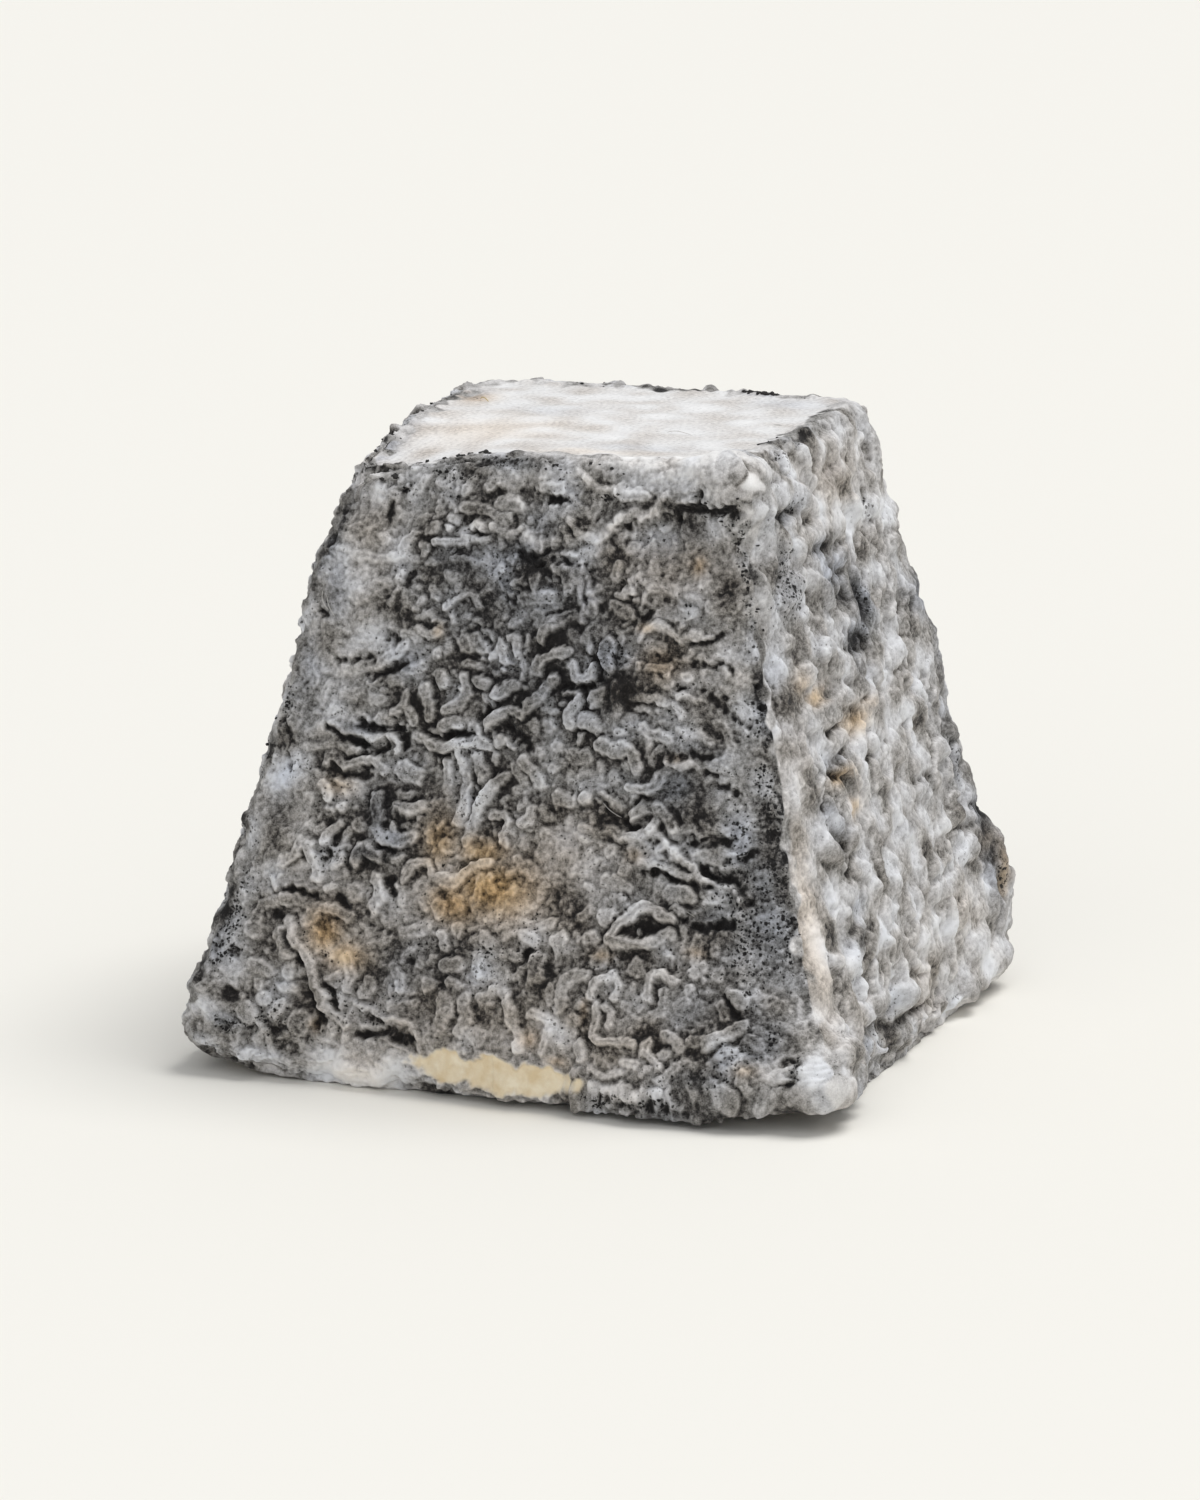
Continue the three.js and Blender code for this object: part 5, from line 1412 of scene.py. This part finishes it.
def on_surface(name, across, up, lift):
    """The point of a skin nearest to a place on its side, and lifted off it, with the normal there."""
    places_across, places_up, points, normals = surfaces[name]
    away = (places_across - across) ** 2 + (places_up - up) ** 2
    nearest = np.unravel_index(away.argmin(), away.shape)
    return points[nearest] + normals[nearest] * lift, normals[nearest]


def plain_material(name, colour, roughness):
    """One colour, dry and dull."""
    material = bpy.data.materials.new(name)
    material.use_nodes = True
    shader = material.node_tree.nodes["Principled BSDF"]
    shader.inputs["Base Color"].default_value = (*colour, 1)
    shader.inputs["Roughness"].default_value = roughness
    return material


def belongs_to_cheese(piece):
    """Fixes a loose bit to the cheese."""
    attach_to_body(piece, "root")
    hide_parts("cheese")


def joined(parts):
    """The points and faces of several closed shapes as one mesh's."""
    starts = np.cumsum([0] + [len(points) for points, _ in parts])
    faces = [[face + start for face in group] for (_, group), start in zip(parts, starts)]
    return np.concatenate([points for points, _ in parts]), [np.concatenate(kind) for kind in zip(*faces)]


def build_crumbs():
    """Every crumb: rings of points on a ball, each pushed in or out at random, then flattened."""
    random = np.random.default_rng(CRUMB_SEED)
    ring = np.linspace(0, math.pi, CRUMB_RINGS + 2)[1:-1, None]
    turn = np.arange(CRUMB_SIDES) * 4 * QUARTER / CRUMB_SIDES
    ball = [np.sin(ring) * np.cos(turn), np.sin(ring) * np.sin(turn), -np.cos(ring)]
    ball = np.stack(np.broadcast_arrays(*ball), -1).reshape(-1, 3)
    ball = np.concatenate([[(0, 0, -1)], ball, [(0, 0, 1)]])
    parts = []
    for name, count, across, up, far_across, far_up, spread, size in CRUMB_ROWS:
        start = np.array((across, up))
        way = np.array((far_across, far_up)) - start
        for share in random.uniform(0, 1, count):
            middle, _ = on_surface(name, *(start + share * way + random.normal(0, spread, 2)), CRUMB_LIFT)
            shape = size * random.uniform(*CRUMB_SIZES) * random.uniform(*CRUMB_SHAPES)
            loose = ball * random.uniform(*CRUMB_DENTS, (len(ball), 1)) * shape
            spin = random.uniform(0, 4 * QUARTER)
            cos, sin = math.cos(spin), math.sin(spin)
            loose = loose @ np.array([[cos, -sin, 0], [sin, cos, 0], [0, 0, 1]]).T
            parts.append((middle + loose, ring_faces(CRUMB_RINGS, CRUMB_SIDES)))
    return build_object("crumbs", *joined(parts), plain_material("dried_ash", *DRIED_ASH))


def build_fibres(kind, material):
    """The fibres of one kind: rings round a line that bows over the surface, and a point at each end."""
    turn = np.arange(FIBRE_SIDES)[:, None] * 4 * QUARTER / FIBRE_SIDES
    parts = []
    for name, across, up, far_across, far_up, bow, radius, of_kind in FIBRES:
        if of_kind != kind:
            continue
        start, upright = on_surface(name, across, up, FIBRE_LIFT)
        end, _ = on_surface(name, far_across, far_up, FIBRE_LIFT)
        share = np.linspace(0, 1, FIBRE_POINTS)[:, None]
        sideways = np.cross(end - start, upright)
        sideways /= np.linalg.norm(sideways)
        arch = np.sin(share * math.pi)
        line = start + (end - start) * share + arch * (bow * sideways + FIBRE_ARCH * upright)
        rings = line[1:-1, None] + radius * (np.cos(turn) * sideways + np.sin(turn) * upright)
        loose = np.concatenate([line[:1], rings.reshape(-1, 3), line[-1:]])
        parts.append((loose, ring_faces(len(rings), FIBRE_SIDES)))
    return build_object("fibres_" + kind, *joined(parts), material)


belongs_to_cheese(build_crumbs())
belongs_to_cheese(build_fibres("straw", plain_material("straw", *STRAW)))
belongs_to_cheese(build_fibres("hair", plain_material("pale_hair", *PALE_HAIR)))

# ---- The floor, the light and the camera ---------------------------------------------------------------
# Not part of the cheese: a plain pale floor, soft light from above, and a long lens at the photo's angle.

FLOOR_SIZE = 8.0  # metres
FLOOR = ((0.86, 0.84, 0.785), 0.9)  # colour and roughness
# Soft lights: (name, direction it comes from, strength, degrees of softness, colour).
LIGHTS = (
    ("key", (0.32, 0.2, 0.93), 1.97, 34, (1, 0.995, 0.985)),
    ("fill", (0.1, -0.75, 0.6), 0.58, 60, (0.97, 0.98, 1)),
)
SKY_COLOUR = (0.95, 0.97, 1, 1)
SKY_STRENGTH = 0.42
AZIMUTH = 18.78  # degrees round from the front face
ELEVATION = 12.2
DISTANCE = 813.0
LENS = 184.0
SENSOR = 36.0
AIM_HEIGHT = 34.0
AIM_LEFT = 0.91  # the lens looks this far left of the cheese's axis
AIM_DOWN = 3.88  # and this far below its middle


def build_floor():
    """A wide flat sheet, faintly warm."""
    half = FLOOR_SIZE / 2 / MM
    corners = np.array([(-half, -half, 0), (half, -half, 0), (half, half, 0), (-half, half, 0)], float)
    floor = build_object("floor", corners, [np.array([[0, 1, 2, 3]])], plain_material("pale_floor", *FLOOR))


def soft_sun(name, direction, strength, softness, colour):
    """A distant soft light that shines from the given direction."""
    light = bpy.data.lights.new(name, "SUN")
    light.energy = strength
    light.angle = math.radians(softness)
    light.color = colour
    lamp = bpy.data.objects.new(name, light)
    lamp.rotation_euler = Vector(direction).to_track_quat("Z", "Y").to_euler()
    bpy.context.scene.collection.objects.link(lamp)


def build_camera():
    """A camera on an orbit round the cheese's axis."""
    azimuth, elevation = math.radians(AZIMUTH), math.radians(ELEVATION)
    back = Vector((
        math.sin(azimuth) * math.cos(elevation),
        -math.cos(azimuth) * math.cos(elevation),
        math.sin(elevation),
    ))
    right = Vector((math.cos(azimuth), math.sin(azimuth), 0))
    up = back.cross(right)
    orbit = Vector((0, 0, AIM_HEIGHT))
    place = orbit + back * DISTANCE
    aim = orbit - right * AIM_LEFT - up * AIM_DOWN
    data = bpy.data.cameras.new("camera")
    data.lens = LENS
    data.sensor_width = SENSOR
    camera = bpy.data.objects.new("camera", data)
    camera.location = place * MM
    camera.rotation_euler = (aim - place).to_track_quat("-Z", "Y").to_euler()
    bpy.context.scene.collection.objects.link(camera)
    bpy.context.scene.camera = camera


build_floor()
for light in LIGHTS:
    soft_sun(*light)
world = bpy.data.worlds.new("world")
world.use_nodes = True
world.node_tree.nodes["Background"].inputs["Color"].default_value = SKY_COLOUR
world.node_tree.nodes["Background"].inputs["Strength"].default_value = SKY_STRENGTH
bpy.context.scene.world = world
build_camera()
bpy.context.scene.view_settings.view_transform = "Standard"
